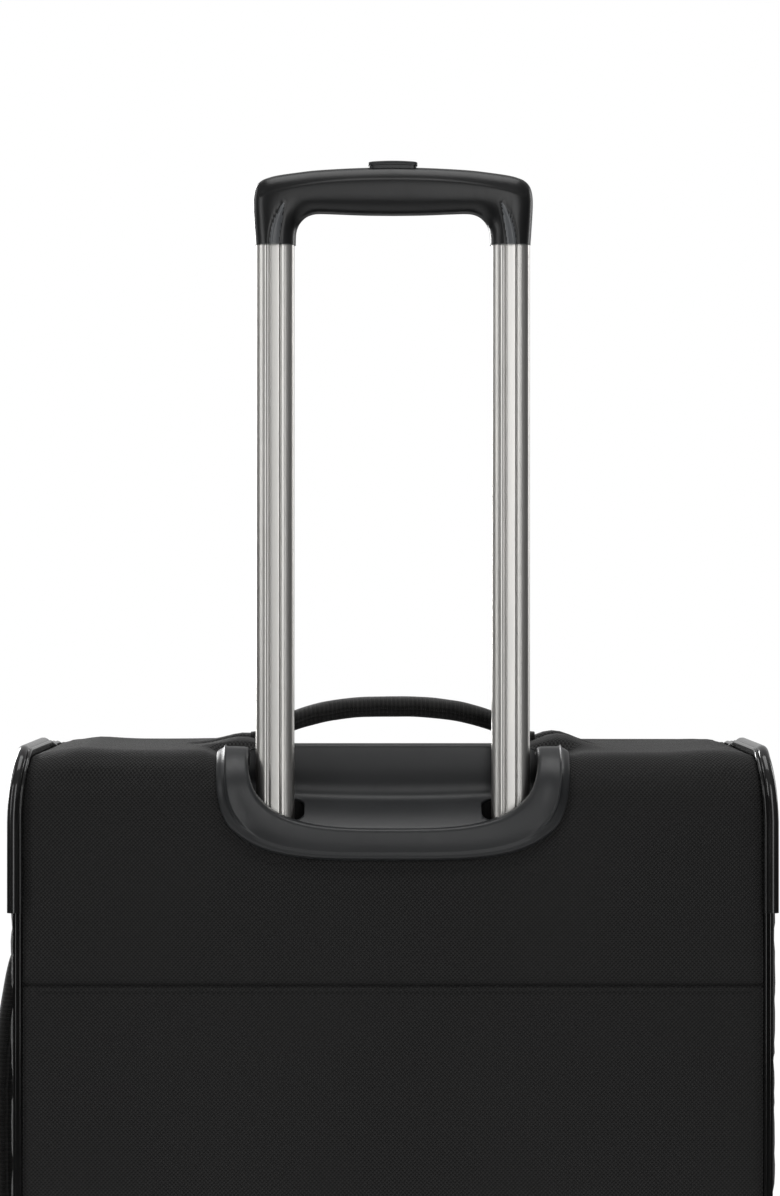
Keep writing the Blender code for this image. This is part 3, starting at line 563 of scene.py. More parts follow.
def floor_material():
    """Pale studio floor that brightens into the white surround away from the object."""
    n = Nodes(bpy.data.materials.new("studio_floor"))
    metres = n.object_space()
    away = n.node("ShaderNodeVectorMath", operation="LENGTH", vector=metres)
    far = n.ramp(away.outputs["Value"], 0.0, 1.0, 0.7, 2.2)
    near = n.math("SUBTRACT", 1.0, far)
    colour = n.mix(n.ramp(n.noise(metres, 1.5, 3.0), 0.0, 1.0, 0.3, 0.7), grey(0.86), grey(0.90))
    seen = n.node("ShaderNodeLightPath").outputs["Is Camera Ray"]
    glow = n.math("MULTIPLY", seen, n.math("MULTIPLY_ADD", near, -0.72, 1.0))
    return n.finish(Base_Color=n.mix(far, colour, grey(0.05)), Roughness=0.85, Specular_IOR_Level=0.0,
                    Emission_Color=grey(1.0), Emission_Strength=glow)


def make_materials():
    """Every finish on the case."""
    polish = (0.30, 1400.0, 0.00003)
    return {
        "fabric": fabric_material("fabric_weave", 0.0120),
        "lining": fabric_material("lining_weave", 0.05, 0.0011, 0.00012, 0.5),
        "webbing": webbing_material("handle_weave", 0.013),
        "mesh": fabric_material("net_weave", 0.03, 0.0030, 0.0009, 0.2),
        "zip": webbing_material("zip_tape_weave", 0.010),
        "gloss": gloss_material("gloss_black", 0.004),
        "guard": gloss_material("guard_black", 0.012),
        "plastic": plastic_material("satin_charcoal", 0.024, 0.38),
        "trim": plastic_material("trim_black", 0.013, 0.42, 700.0, 0.00009),
        "grip": plastic_material("grip_black", 0.008, *polish),
        # painted highlight: the leg facets get a grip plastic far paler than the grip, standing in for the
        # light they reflect
        "leaf": plastic_material("grip_facet_painted_highlight", 0.13, *polish),
        "board": plastic_material("back_board_grain", 0.06, 0.5, 300.0, 0.0002),
        "hub": plastic_material("hub_grey", 0.05, 0.38),
        "rubber": rubber_material("tyre_rubber", 0.016),
        "aluminium": brushed_material("brushed_aluminium", (0.68, 0.672, 0.655), 0.35),
        "steel": brushed_material("dark_nickel", (0.33, 0.33, 0.34), 0.30, (300, 300, 300)),
        "thread": rubber_material("black_thread", 0.010),
        # painted shade: near-black for the tube wells and recess cheeks, standing in for the shade deep in
        # the recess
        "painted_shade_well": rubber_material("shadowed_well", 0.004),
        "button": plastic_material("button_black", 0.020, *polish),
        "zip_teeth": gloss_material("zip_teeth_black", 0.035),
    }


MATERIALS = make_materials()


# ---------------------------------------------------------------- fabric shell
def inside_smile(x, q, half_w, height, power):
    """True inside the U-shaped outline of the handle recess; q runs up the back."""
    drop = RIM_TOP - q
    if drop > height:
        return False
    return (abs(x) / half_w) ** power + (max(0.0, drop) / height) ** power < 1


def sag(x):
    """How far the front of the top sinks between the ends of the carry handle."""
    return 0.0050 * smooth((0.128 - abs(x)) / 0.070)


def height_up_back(s):
    """Height that arc length s would have if the back ran straight on past the top edge."""
    return CASE_TOP - EDGE_R - (s - TOP_RUN - QUARTER)


def rim_distance(s, x):
    """Rough distance from a point of the wrap to the outer edge of the recess rim."""
    drop = max(0.0, RIM_TOP - height_up_back(s))
    share = ((abs(x) / 0.1035) ** 3.8 + (drop / 0.0675) ** 3.8) ** (1 / 3.8)
    return max(0.0, (share - 1) * math.hypot(x, drop))


def wrap_puff(s, x):
    """How far the padded wrap fabric stands off the CAD surface."""
    (y, z), (ny, nz) = profile(s)
    puff = 0.0016 - 0.0032 * (abs(x) / WRAP_X) ** 34
    puff += 0.0005 * wobble(x, y, z, 0.09) + 0.00025 * wobble(x, y, z, 0.03, 5.0)
    if nz > 0.5:
        middle = smooth((y + 0.055) / 0.04) * smooth((0.085 - y) / 0.03)
        puff += middle * (0.0050 * bell(x - 0.094, 0.017) + 0.0086 * bell(x + 0.102, 0.018))
        puff += 0.0018 * smooth((x - 0.03) / 0.04) * smooth((0.205 - x) / 0.02)
        puff -= 0.0060 * smooth((0.082 - abs(x)) / 0.03) * smooth((0.085 - y) / 0.06)
        puff += 0.0016 * bell(abs(x) - 0.196, 0.022)
        beside_handle = abs(y - (TOP_HANDLE_LO.y + TOP_HANDLE_HI.y) / 2)
        under = smooth((0.021 - beside_handle) / 0.010) * smooth((0.130 - abs(x)) / 0.012)
        puff = lerp(puff, min(puff, -0.0008), under)
    puff = lerp(-sag(x), puff, smooth(s / 0.026))
    if s > PATH_LENGTH / 2:
        puff *= min(1.0, (PATH_LENGTH - s) / 0.010)
    beside_rim = rim_distance(s, x)
    if y > 0.07 and beside_rim < 0.014:
        puff = lerp(-0.0006, puff, smooth(beside_rim / 0.014))
    if ny > 0.5:
        puff += 0.0007 * bell(abs(z - SEAM_Z) - 0.007, 0.006) - 0.0020 * bell(z - SEAM_Z, 0.0013)
    return puff


def build_wrap():
    """Back, top and bottom fabric: one padded band with openings for the recess and wheels."""
    seam_s = back_s(SEAM_Z)
    creases = (0, 0.0007, 0.0014, 0.0022, 0.0035, 0.005, 0.007, 0.010)
    ss = merged(spread(0, PATH_LENGTH - 1e-6, 0.0045), near_ends(seam_s, seam_s, *creases))
    xs = merged(spread(-WRAP_X, WRAP_X, 0.0055), near_ends(-WRAP_X, WRAP_X, 0, 0.001, 0.002, 0.0035, 0.006))
    tray_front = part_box("handle_tray")[1].y - 0.0375
    wheel_x = (HOUSING_LO.x + HOUSING_HI.x) / 2

    def open_here(i, j):
        s = (ss[i] + ss[i + 1]) / 2
        x = (xs[j] + xs[j + 1]) / 2
        (y, z), _ = profile(s)
        if y > tray_front and inside_smile(x, height_up_back(s), 0.094, 0.0640, 4.2):
            return True
        return abs(abs(x) - wheel_x) < 0.0215 and y > HOUSING_LO.y + 0.016 and z < 0.075

    mesh = surface(ss, xs, lambda s, x: (on_case(s, x, wrap_puff(s, x)), (x, s)), skip=open_here)
    piece("wrap_fabric", mesh, "case", "fabric", ["wrap_panel"], 0.0035)


def build_stitches():
    """Lock stitches just under the seam across the back."""
    half, gap, radius = 0.0011, 0.0033, 0.0002
    s = back_s(SEAM_Z - 0.0042)
    section = circle(6, radius)
    stitches = []
    x = -WRAP_X + 0.008
    while x < WRAP_X - 0.008:
        centre = on_case(s, x, wrap_puff(s, x) + 0.0001)
        rings = []
        for along in (-half, -half * 0.5, half * 0.5, half):
            lift = 0.00022 if abs(along) < half else -0.0001
            rings.append([centre + Vector((along, lift + out, up)) for up, out in section])
        stitches.append(rings)
        x += gap
    mesh = solids_mesh(stitches)
    mesh.shade_smooth()
    piece("seam_stitches", mesh, "case", "thread")


def side_outline_y(z):
    """How far back the side panels reach at height z."""
    radius = EDGE_R - SEAM_INSET
    over = max(CASE_BOTTOM + EDGE_R - z, z - CASE_TOP + EDGE_R, 0.0)
    return BACK_Y - EDGE_R + math.sqrt(max(0.0, radius ** 2 - over ** 2))


def under_side_handle(y, z):
    """1 where the side panel is pressed flat under the side handle, 0 away from it."""
    lo, hi = SIDE_HANDLE_LO, SIDE_HANDLE_HI
    across = abs(y - (lo.y + hi.y) / 2)
    along = abs(z - (lo.z + hi.z) / 2)
    return smooth((0.028 - across) / 0.014) * smooth(((hi.z - lo.z) / 2 + 0.030 - along) / 0.016)


def side_panel(side, sign, screwed):
    """Padded side panel, sunk at its edges and held where parts are screwed or sewn on."""
    low, high = CASE_BOTTOM + SEAM_INSET, CASE_TOP - SEAM_INSET
    zs = merged(near_ends(low, high, 0.0, 0.0004, 0.0015, 0.0035, 0.006, 0.009, 0.013, 0.018),
                spread(low + 0.02, high - 0.02, 0.006))
    shares = merged(spread(0, 1, 0.03), [0.985, 0.965, 0.94, 0.015, 0.04])
    fixed = [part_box(node) for node in screwed]
    margin = 0.010

    def place(z, share):
        y = lerp(CASE_FRONT, side_outline_y(z), share)
        near = min(side_outline_y(z) - y, z - low, high - z)
        puff = 0.0020 * smooth(near / 0.05) - 0.0032 * (1 - smooth(near / 0.007))
        puff += 0.0006 * wobble(y, z, sign, 0.10) + 0.00025 * wobble(y, z, sign, 0.035, 3.0)
        if sign > 0:
            puff -= 0.0030 * under_side_handle(y, z)
        puff *= smooth((y - CASE_FRONT) / 0.008) * 0.8 + 0.2
        return lean(Vector((sign * (SIDE_X - 0.0012 + puff), y, z))), (y, z)

    def held(point):
        y, z = point.y, point.z
        sewn = min(side_outline_y(z) - y, y - CASE_FRONT, z - low, high - z) < 0.009
        pressed = sign > 0 and under_side_handle(y, z) > 0.6
        return sewn or pressed or any(edge_distance(y, z, lo.y - margin, lo.z - margin, hi.y + margin,
                                                    hi.z + margin) > 0 for lo, hi in fixed)

    mesh = stuffed(surface(zs, shares, place, sign < 0), held, 0.014, 0.0045)
    piece(f"side_fabric_{side}", mesh, "case", "fabric", [f"side_panel_{side}"], 0.0035)


def edge_sweep(section, sign, low_s, high_s, tucks):
    """Tube with a section of (x, height) points carried along the case edge.

    tucks holds the lengths over which it sinks into the seam at its front end and at its foot."""
    bends = spread(TOP_RUN, TOP_RUN + QUARTER, 0.0025)
    bends += spread(TOP_RUN + QUARTER + BACK_RUN, PATH_LENGTH - TOP_RUN, 0.0025)
    rows = []
    for s in merged(spread(low_s, high_s, 0.006), [s for s in bends if low_s <= s <= high_s]):
        near = (s - low_s) / tucks[0]
        if tucks[1]:
            near = min(near, (high_s - s) / tucks[1])
        end = 1 - smooth(near)
        rows.append([on_case(s, sign * (x - 0.0035 * end), h - 0.0040 * end) for x, h in section])
    return grid(rows, ring=True, caps=True)


def build_edges():
    """Twin-bead piping along both edges, and the corner guards over it."""
    bead, offset, middle = 0.00150, 0.00128, 0.2195
    beads = arc(middle + offset, 0.0003, bead, -148, 148, 9) + arc(middle - offset, 0.0003, bead, 32, 328, 9)
    guard = [(0.2167, 0.0004), (0.2166, 0.0026)]
    guard += [(0.2178 + 0.0012 * c, 0.0031 + 0.0013 * s) for c, s in arc(0, 0, 1.0, 180, 30, 4)]
    guard += arc(0.2219, 0.0024, 0.0036, 152, -8, 12)
    guard += [(0.2256, -0.0030), (0.2255, -0.0066), (0.2249, -0.0078), (0.2238, -0.0076),
              (0.2234, -0.0040), (0.2228, -0.0004), (0.2200, 0.0002)]
    guard_lo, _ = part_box("corner_guard_right")
    for side, sign in SIDES:
        mesh = edge_sweep(beads, sign, 0.0, PATH_LENGTH - 1e-6, (0.020, 0.020))
        piece(f"edge_piping_{side}", mesh, "case", "gloss", [f"piping_{side}"])
        mesh = edge_sweep(guard, sign, guard_lo.y - CASE_FRONT, back_s(guard_lo.z), (0.014, 0.0))
        cover = piece(f"guard_{side}", mesh, "case", "guard", [f"corner_guard_{side}"])
        soften(cover, 0.0006, 60)


# ---------------------------------------------------------------- handle recess
def smile_point(half_w, height, power, turn):
    """Point on the U outline; turn runs from 0 at one arm to 1 at the other."""
    angle = math.pi * turn
    x = -half_w * signed_power(math.cos(angle), 2 / power)
    return x, RIM_TOP - height * max(0.0, math.sin(angle)) ** (2 / power)


def build_rim():
    """The recess rim: chamfer, raised ridge that fades round the bend, flat face and inner lip."""
    section = [(0.000, -0.0015), (0.001, 0.0012), (0.010, 0.0022), (0.030, 0.0026), (0.060, 0.0030),
               (0.090, 0.0034), (0.130, 0.0038), (0.205, 0.0046), (0.228, 0.0052), (0.245, 0.0059),
               (0.262, 0.0062), (0.280, 0.0059), (0.300, 0.0053), (0.330, 0.0051), (0.600, 0.0051),
               (0.860, 0.0049), (0.940, 0.0045), (0.975, 0.0037), (0.992, 0.0024), (1.000, 0.0006),
               (1.004, -0.0045), (1.004, -0.0060), (0.975, -0.0060), (0.960, -0.0025), (0.950, 0.0005),
               (0.500, 0.0012), (0.060, -0.0010)]
    rise = 0.0222
    bend_steps = 88
    arms = [(0.0, rise * up) for up in (1.0, 0.985, 0.96, 0.92, 0.87, 0.82, 0.77, 0.72, 0.6, 0.45, 0.3, 0.15)]
    path = arms + [(k / bend_steps, 0.0) for k in range(bend_steps + 1)] + [(1.0, up) for _, up in arms[::-1]]
    rows = []
    for turn, up in path:
        ox, oq = smile_point(0.1040, 0.0680, 3.8, turn)
        ix, iq = smile_point(0.0850, 0.0488, 3.2, turn)
        round_off = 1 - math.sqrt(max(0.0, 1 - max(0.0, (up - rise + 0.0085) / 0.0087) ** 2))
        low = smooth((min(turn, 1 - turn) - 0.15) / 0.13)
        row = []
        for across, height in section:
            if across < 0.33:
                plain = -0.0015 + 0.0064 * (1 - (1 - min(1.0, across / 0.14)) ** 2.2)
                height = lerp(height, plain, low)
            level = lerp(height, min(height, 0.0040), smooth((up - rise + 0.013) / 0.009))
            level = lerp(level, min(level, -0.0005), round_off)
            row.append(on_profile(back_s(lerp(oq, iq, across) + up), lerp(ox, ix, across), level))
        rows.append(row)
    mesh = grid(rows, ring=True, caps=True)
    piece("recess_rim", mesh, "case", "plastic", ["handle_rim"])


def tray_profile():
    """Smooth section of the tray floor: lip, ramp, hollow, wall and top edge, as (y, z)."""
    knots = [(0.0010, -0.0445), (0.0006, -0.0430), (-0.0012, -0.0414), (-0.0045, -0.0390),
             (-0.0090, -0.0362), (-0.0140, -0.0336), (-0.0195, -0.0313), (-0.0250, -0.0294),
             (-0.0293, -0.0277), (-0.0319, -0.0259), (-0.0333, -0.0237), (-0.0339, -0.0212),
             (-0.0340, -0.0186), (-0.0336, -0.0160), (-0.0331, -0.0133), (-0.0326, -0.0098),
             (-0.0323, -0.0050), (-0.0323, 0.0032), (-0.0327, 0.0051), (-0.0340, 0.0062),
             (-0.0370, 0.0066), (-0.0420, 0.0063), (-0.0468, 0.0055), (-0.0480, 0.0042), (-0.0480, 0.0020)]
    return [(BACK_Y + y, CASE_TOP + z) for y, z in knots]


def floor_height(y):
    """Height of the tray floor at depth y."""
    line = sorted(knot for knot in tray_profile() if knot[1] < CASE_TOP - 0.008)
    for (y0, z0), (y1, z1) in zip(line, line[1:]):
        if y0 <= y <= y1:
            return lerp(z0, z1, (y - y0) / max(1e-9, y1 - y0))
    return line[0][1] if y < line[0][0] else line[-1][1]


def build_tray():
    """Tray floor with tube passages, its end cheeks and tube wells; cheeks and wells are near-black, painted
    shade for the dark inside the recess.
    """
    half = 0.0878

    def place(knot, x):
        y, z = knot
        outwards = (abs(x) / half) ** 2
        droop = 0.0016 * outwards * smooth((CASE_TOP - 0.018 - z) / 0.010)
        bow = 0.0022 * outwards * bell(z - CASE_TOP + 0.021, 0.012)
        narrow = 1 - 0.085 * smooth((z - CASE_TOP - 0.0010) / 0.0035)
        return Vector((x * narrow, y, z + droop + bow))

    xs = merged(spread(-half, half, 0.004), [-half + 0.001, half - 0.001])[::-1]
    mesh = grid([[place(knot, x) for x in xs] for knot in tray_profile()])
    tray = piece("recess_tray", mesh, "case", "plastic", ["handle_tray"])
    adjust(tray.modifiers.new("smooth", "SUBSURF"), levels=1, render_levels=1)
    thicken(tray, 0.0016)
    for side, sign in SIDES:
        x = sign * (TUBE_X - 0.0018)
        hole = rounded_rect(x - 0.0155, TUBE_Y - 0.0122, x + 0.0155, TUBE_Y + 0.0122, 0.007)
        low, high = CASE_TOP - 0.068, CASE_TOP - 0.008
        cut(tray, grid([[Vector((x, y, z)) for x, y in hole] for z in (low, high)], ring=True, caps=True))
        # painted shade: the well gets the near-black shade material
        well = []
        for drop in (0.016, 0.028, 0.048, 0.0545):
            well.append([Vector((x, y, min(CASE_TOP - drop, floor_height(y) - 0.0004))) for x, y in hole])
        piece(f"tube_well_{side}", grid(well, ring=True), "case", "painted_shade_well", thick=0.0008)

        # painted shade: the cheek gets the near-black shade material too
        arm = [smile_point(0.0888, 0.0600, 5.0, 0.5 * k / 23) for k in range(24)]
        depths = spread(BACK_Y - 0.036, BACK_Y - 0.001, 0.006)[::sign]
        rows = [[Vector((sign * abs(x), y, q)) for y in depths] for x, q in arm if q < CASE_TOP - 0.001]
        piece(f"recess_cheek_{side}", grid(rows), "case", "painted_shade_well", thick=0.0014)


# ---------------------------------------------------------------- pull handle
def tube_section(half_w, half_d):
    """Outline of a sliding tube: round flanks and two fine grooves beside a raised band."""
    points = []
    for c, s in circle(200):
        x = half_w * signed_power(c, 2 / 2.7)
        y = half_d * signed_power(s, 2 / 2.7)
        if abs(x) < 0.0055:
            groove = bell(abs(x) - 0.0033, 0.0004)
            raised = smooth((0.0033 - abs(x)) / 0.0004)
            y = math.copysign(abs(y) - 0.0004 * groove - 0.0002 * (1 - raised), y)
        points.append((x, y))
    return points


def build_tubes():
    """Sliding tubes."""
    section = tube_section((TUBE_HI.x - TUBE_LO.x) / 2 + 0.0003, (TUBE_HI.y - TUBE_LO.y) / 2)
    for side, sign in SIDES:
        rows = [[Vector((sign * TUBE_X + x, TUBE_Y + y, z)) for x, y in section]
                for z in spread(TUBE_LO.z, TUBE_HI.z, 0.05)]
        mesh = grid(rows, ring=True, caps=True)
        piece(f"pull_tube_{side}", mesh, "trolley", "aluminium", [f"sliding_tube_{side}"])


def curve_through(points, count):
    """Evenly stepped points on a smooth curve through control points."""
    ends = [points[0]] + list(points) + [points[-1]]
    line = []
    for i in range(1, len(ends) - 2):
        p0, p1, p2, p3 = ends[i - 1:i + 3]
        for k in range(24):
            t = k / 24
            line.append(tuple(0.5 * (2 * b + (c - a) * t + (2 * a - 5 * b + 4 * c - d) * t * t
                                     + (3 * b - a - 3 * c + d) * t ** 3)
                              for a, b, c, d in zip(p0, p1, p2, p3)))
    line.append(points[-1])
    lengths = run_lengths(line)
    made = []
    j = 0
    for k in range(count + 1):
        goal = lengths[-1] * k / count
        while j < len(lengths) - 2 and lengths[j + 1] < goal:
            j += 1
        t = (goal - lengths[j]) / max(1e-12, lengths[j + 1] - lengths[j])
        made.append((lerp(line[j][0], line[j + 1][0], t), lerp(line[j][1], line[j + 1][1], t)))
    return made


def curve_part(points, first, last, count):
    """Stretch of the curve through points, between two of its control points."""
    fine = curve_through(points, 600)
    low, high = [min(range(len(fine)), key=lambda k: math.dist(fine[k], points[index]))
                 for index in (first, last)]
    return curve_through(fine[low:high + 1:2] + [fine[high]], count)


LEG_DROP = 0.0460                # crown of the grip down to the foot of its legs
CROWN_Z = GRIP_HI.z + 0.0003


def grip_outlines():
    """Matching outer and inner outline points of the grip, from leg to leg, in X and Z.

    Both outlines are given as (x, drop below the crown) from the foot of a leg to the middle."""
    w = GRIP_HI.x
    outer = [(w - 0.0014, LEG_DROP), (w - 0.0006, 0.0345), (w, 0.0230), (w - 0.0003, 0.0165),
             (w - 0.0018, 0.0115), (w - 0.0048, 0.0082), (w - 0.0090, 0.0063), (w - 0.0150, 0.0048),
             (w - 0.0260, 0.0032), (w - 0.0385, 0.0018), (w - 0.0600, 0.0006), (0.0, 0.0)]
    inner = [(0.0573, LEG_DROP), (0.0571, 0.0400), (0.0563, 0.0362), (0.0545, 0.0328), (0.0515, 0.0298),
             (0.0478, 0.0281), (0.0430, 0.0275), (0.0330, 0.0278), (0.0170, 0.0284), (0.0, 0.0286)]
    right = []
    for out_ends, in_ends, count in (((0, 3), (0, 1), 34), ((3, 7), (1, 6), 34), ((7, 11), (6, 9), 44)):
        pairs = zip(curve_part(outer, *out_ends, count), curve_part(inner, *in_ends, count))
        joined = [((ox, CROWN_Z - out_drop), (ix, CROWN_Z - in_drop))
                  for (ox, out_drop), (ix, in_drop) in pairs]
        right += joined[1:] if right else joined
    left = [((-ox, oz), (-ix, iz)) for (ox, oz), (ix, iz) in right[:-1]]
    return left + right[::-1]


def leaf_edges(z):
    """Share of the leg facet's height at z, and how far out its outer and inner edges lie."""
    t = max(0.0, (z - (CROWN_Z - LEG_DROP)) / 0.0265)
    return t, 0.0728 - 0.0099 * t ** 2.1, 0.0668 - 0.0039 * t ** 1.2


def leaf(x, z):
    """Height of the pointed facet moulded into each leg, with a sharp edge on its outer side."""
    t, outer_edge, inner_edge = leaf_edges(z)
    if t >= 1.0 or outer_edge <= inner_edge:
        return 0.0
    share = (outer_edge - abs(x)) / (outer_edge - inner_edge)
    ramp = min(1.0, max(0.0, share))
    body = 0.0014 * (1 - t) ** 0.4 * smooth(share * 3.2) * (1 - ramp) ** 0.8
    lines = 0.0004 * bell(abs(x) - outer_edge, 0.0009) + 0.0003 * bell(abs(x) - inner_edge, 0.0008)
    return body - lines * (1 - t ** 4)


def paint_leaf_highlights(mesh):
    """Give the facets on the legs a second, far paler grip plastic: a painted highlight for the light they
    catch.
    """
    mesh.materials.append(MATERIALS["leaf"])
    for face in mesh.polygons:
        t, outer_edge, inner_edge = leaf_edges(face.center.z)
        if t < 0.98 and inner_edge + 0.0003 < abs(face.center.x) < outer_edge - 0.0004:
            face.material_index = 1


def build_grip():
    """Moulded grip with a fine crease under its crown."""
    depth = (GRIP_HI.y - GRIP_LO.y) / 2
    rows = []
    for (ox, oz), (ix, iz) in grip_outlines():
        row = []
        for c, s in circle(120):
            x = (ox + ix) / 2 + (ox - ix) / 2 * signed_power(c, 0.86)
            z = (oz + iz) / 2 + (oz - iz) / 2 * signed_power(c, 0.86)
            out = depth * abs(s) ** 0.80
            if abs(s) > 0.2:
                out += leaf(x, z)
                if abs(x) < GRIP_HI.x - 0.004:
                    line_z = CROWN_Z - 0.0085 - 0.0110 * (abs(x) / GRIP_HI.x) ** 2.6
                    out -= 0.00035 * smooth((z - line_z) / 0.0012)
            row.append(Vector((x, TUBE_Y + math.copysign(out, s), z)))
        rows.append(row)
    mesh = grid(rows, ring=True, caps=True)
    piece("grip_body", mesh, "trolley", "grip", ["grip"])
    paint_leaf_highlights(mesh)


def build_button():
    """Push button in the crown of the grip, slightly domed."""
    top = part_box("release_button")[1].z
    half_w, half_d = 0.0145, 0.0042
    outline = rounded_rect(-half_w, -half_d, half_w, half_d, 0.0022, 0.0015, 4)
    rows = []
    for drop, shrink in ((0.0100, 0.0006), (0.0024, 0.0006), (0.0022, 0.0), (0.0006, 0.0),
                         (0.0002, 0.0004), (0.0, 0.0010)):
        rows.append([Vector((x * (1 - shrink / half_w), TUBE_Y + y * (1 - shrink / half_d),
                             top - drop - 0.0006 * (x / half_w) ** 2)) for x, y in outline])
    mesh = grid(rows, ring=True, caps=True)
    piece("button_cap", mesh, "release", "button", ["release_button"])


# ---------------------------------------------------------------- carry handles
def top_place(along, across, out):
    """Top handle frame to space."""
    lo, hi = TOP_HANDLE_LO, TOP_HANDLE_HI
    return Vector((along, (lo.y + hi.y) / 2 + across, lo.z + 0.006 + out))


def side_place(along, across, out):
    """Side handle frame to space."""
    lo, hi = SIDE_HANDLE_LO, SIDE_HANDLE_HI
    return Vector((lo.x + 0.006 + out, (lo.y + hi.y) / 2 + across, (lo.z + hi.z) / 2 + along))


def carry_handle(name, place, half, rise, width):
    """Padded handle: flat woven tongues that swell into a stuffed, seamed grip."""
    steps, turns = 72, 36

    def skin(i, k):
        share = -1 + 2 * i / steps
        along = share * half
        lift = rise * (1 - min(1.0, abs(share) / 0.93) ** 2.6)
        swell = smooth((0.93 - abs(share)) / 0.40)
        thick = lerp(0.0030, 0.0063, smooth((1.0 - abs(share)) / 0.16))
        half_w = lerp(0.0072, width / 2, swell)
        a = 2 * math.pi * k / turns
        c, s = math.cos(a), math.sin(a)
        across = half_w * signed_power(c, 0.75)
        out = thick * signed_power(s, 0.80)
        groove = bell(out + 0.0022, 0.0009) * swell * (abs(c) > 0.35)
        puckers = 1 + 0.25 * math.sin(along * 2 * math.pi / 0.0060)
        across -= math.copysign(0.0017 * groove * puckers, c)
        ripple = 0.00022 * wobble(along, across, out, 0.012, 2.0)
        out += 0.0003 * bell(s, 0.5) * math.sin(along * 2 * math.pi / 0.021) * swell
        return place(along, across * (1 + ripple * 30), lift + out + ripple), (half_w * a, along)

    mesh = surface(range(steps + 1), range(turns), skin, ring=True, caps=True)
    piece(f"carry_handle_{name}", mesh, f"{name}_handle", "webbing", [f"{name}_handle"])


def handle_tab(name, end, sign, place, half, level):
    """Sewn tab that takes one end of a carry handle; level is the fabric below it."""
    def skin(t, share):
        along = half - 0.0060 + 0.0260 * t
        wide = lerp(0.0118, 0.0150, smooth(t * 1.4)) * (1 - 0.35 * smooth((t - 0.7) / 0.3))
        crest = lerp(0.0010, level + 0.0026, smooth(t * 1.25))
        crest = lerp(crest, level - 0.0030, smooth((t - 0.72) / 0.28))
        out = lerp(crest, level - 0.0035, abs(share) ** 3)
        return place(sign * along, share * wide, out), (share * wide, along)

    mesh = surface(spread(0, 1, 1 / 12), spread(-1, 1, 1 / 6), skin, (sign > 0) == (name == "top"))
    piece(f"{name}_tab_{end}", mesh, "case", "fabric", [f"{name}_handle_anchor_{end}"], 0.0016)


def build_carry_handles():
    """Both carry handles with their tabs."""
    size = TOP_HANDLE_HI - TOP_HANDLE_LO
    half = size.x / 2
    carry_handle("top", top_place, half, size.z - 0.012, size.y)
    for end, sign in (("a", -1), ("b", 1)):
        handle_tab("top", end, sign, top_place, half, CASE_TOP - top_place(0, 0, 0).z)
    size = SIDE_HANDLE_HI - SIDE_HANDLE_LO
    half = size.z / 2
    carry_handle("side", side_place, half, size.x - 0.012, size.y)
    for end, sign in (("a", -1), ("b", 1)):
        handle_tab("side", end, sign, side_place, half, SIDE_X - side_place(0, 0, 0).x)


# ---------------------------------------------------------------- lid and pockets
LID_BACK = LID_HI.y
LID_FRONT = LID_LO.y
LID_R = 0.012


def lid_shape(point):
    """Lean the lid's top corners in and let its top edge sag in the middle."""
    moved = lean(point)
    return Vector((moved.x, moved.y, moved.z - sag(point.x) * smooth((point.z - CASE_TOP + 0.07) / 0.06)))


def lid_outline(inset, step=0.006):
    """Closed outline of the lid, pulled in by inset."""
    return rounded_rect(LID_LO.x + inset, LID_LO.z + inset, LID_HI.x - inset, LID_HI.z - inset,
                        LID_R - inset, step)


def face_outward(mesh, middle_z):
    """Make a ring of fabric face away from its axis."""
    score = 0.0
    for face in mesh.polygons:
        score += face.normal.dot(Vector((face.center.x, 0.0, face.center.z - middle_z)))
    if score < 0:
        mesh.flip_normals()
    return mesh


def build_gusset():
    """Soft wall round the lid."""
    outline = lid_outline(0.0)
    lengths = run_lengths(outline)
    middle_z = 0.348

    def place(i, y):
        x, z = outline[i]
        away = Vector((x * 0.03, 0, (z - middle_z) * 0.02)).normalized()
        t = (y - LID_FRONT) / (LID_BACK - LID_FRONT)
        puff = 0.0012 * math.sin(math.pi * t) - 0.0014 * bell(t, 0.10)
        puff += 0.0004 * wobble(x, y, z, 0.05, 7.0) * math.sin(math.pi * t)
        return lid_shape(Vector((x, y, z)) + away * puff), (y, lengths[i])

    mesh = surface(range(len(outline)), spread(LID_BACK, LID_FRONT + 0.0030, 0.005), place, loop=True)
    piece("lid_gusset", face_outward(mesh, middle_z), "lid", "fabric", ["lid_shell"], 0.004)


def build_lid_front():
    """Stuffed front panel of the lid and the piping round it."""
    inset = 0.0035
    lo = (LID_LO.x + inset, LID_LO.z + inset)
    hi = (LID_HI.x - inset, LID_HI.z - inset)
    xs, zs = [merged(spread(a, b, 0.0075), near_ends(a, b, 0.002, 0.004)) for a, b in zip(lo, hi)]
    pockets = [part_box("front_pocket"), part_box("upper_pocket")]
    margin = 0.004

    def place(x, z, near):
        puff = 0.0022 * smooth(near / 0.04) - 0.0012 * (1 - smooth(near / 0.006))
        ripple = 0.0006 * wobble(x, 1.0, z, 0.10) + 0.0003 * wobble(x, 2.0, z, 0.03)
        puff += ripple * smooth(near / 0.02)
        return lid_shape(Vector((x, LID_FRONT + 0.0002 - puff, z)))

    def held(point):
        x, z = point.x, point.z
        return edge_distance(x, z, *lo, *hi) < 0.010 or any(
            edge_distance(x, z, a.x - margin, a.z - margin, b.x + margin, b.z + margin) > 0
            for a, b in pockets)

    mesh = stuffed(sheet(lo, hi, LID_R - inset, xs, zs, place), held, 0.016, 0.0035)
    piece("lid_front", mesh, "lid", "fabric", thick=0.004)
    piping("lid_edge_piping", lid_outline(0.0020), LID_FRONT + 0.0012, 0.0021, ["lid_piping"], lid_shape)


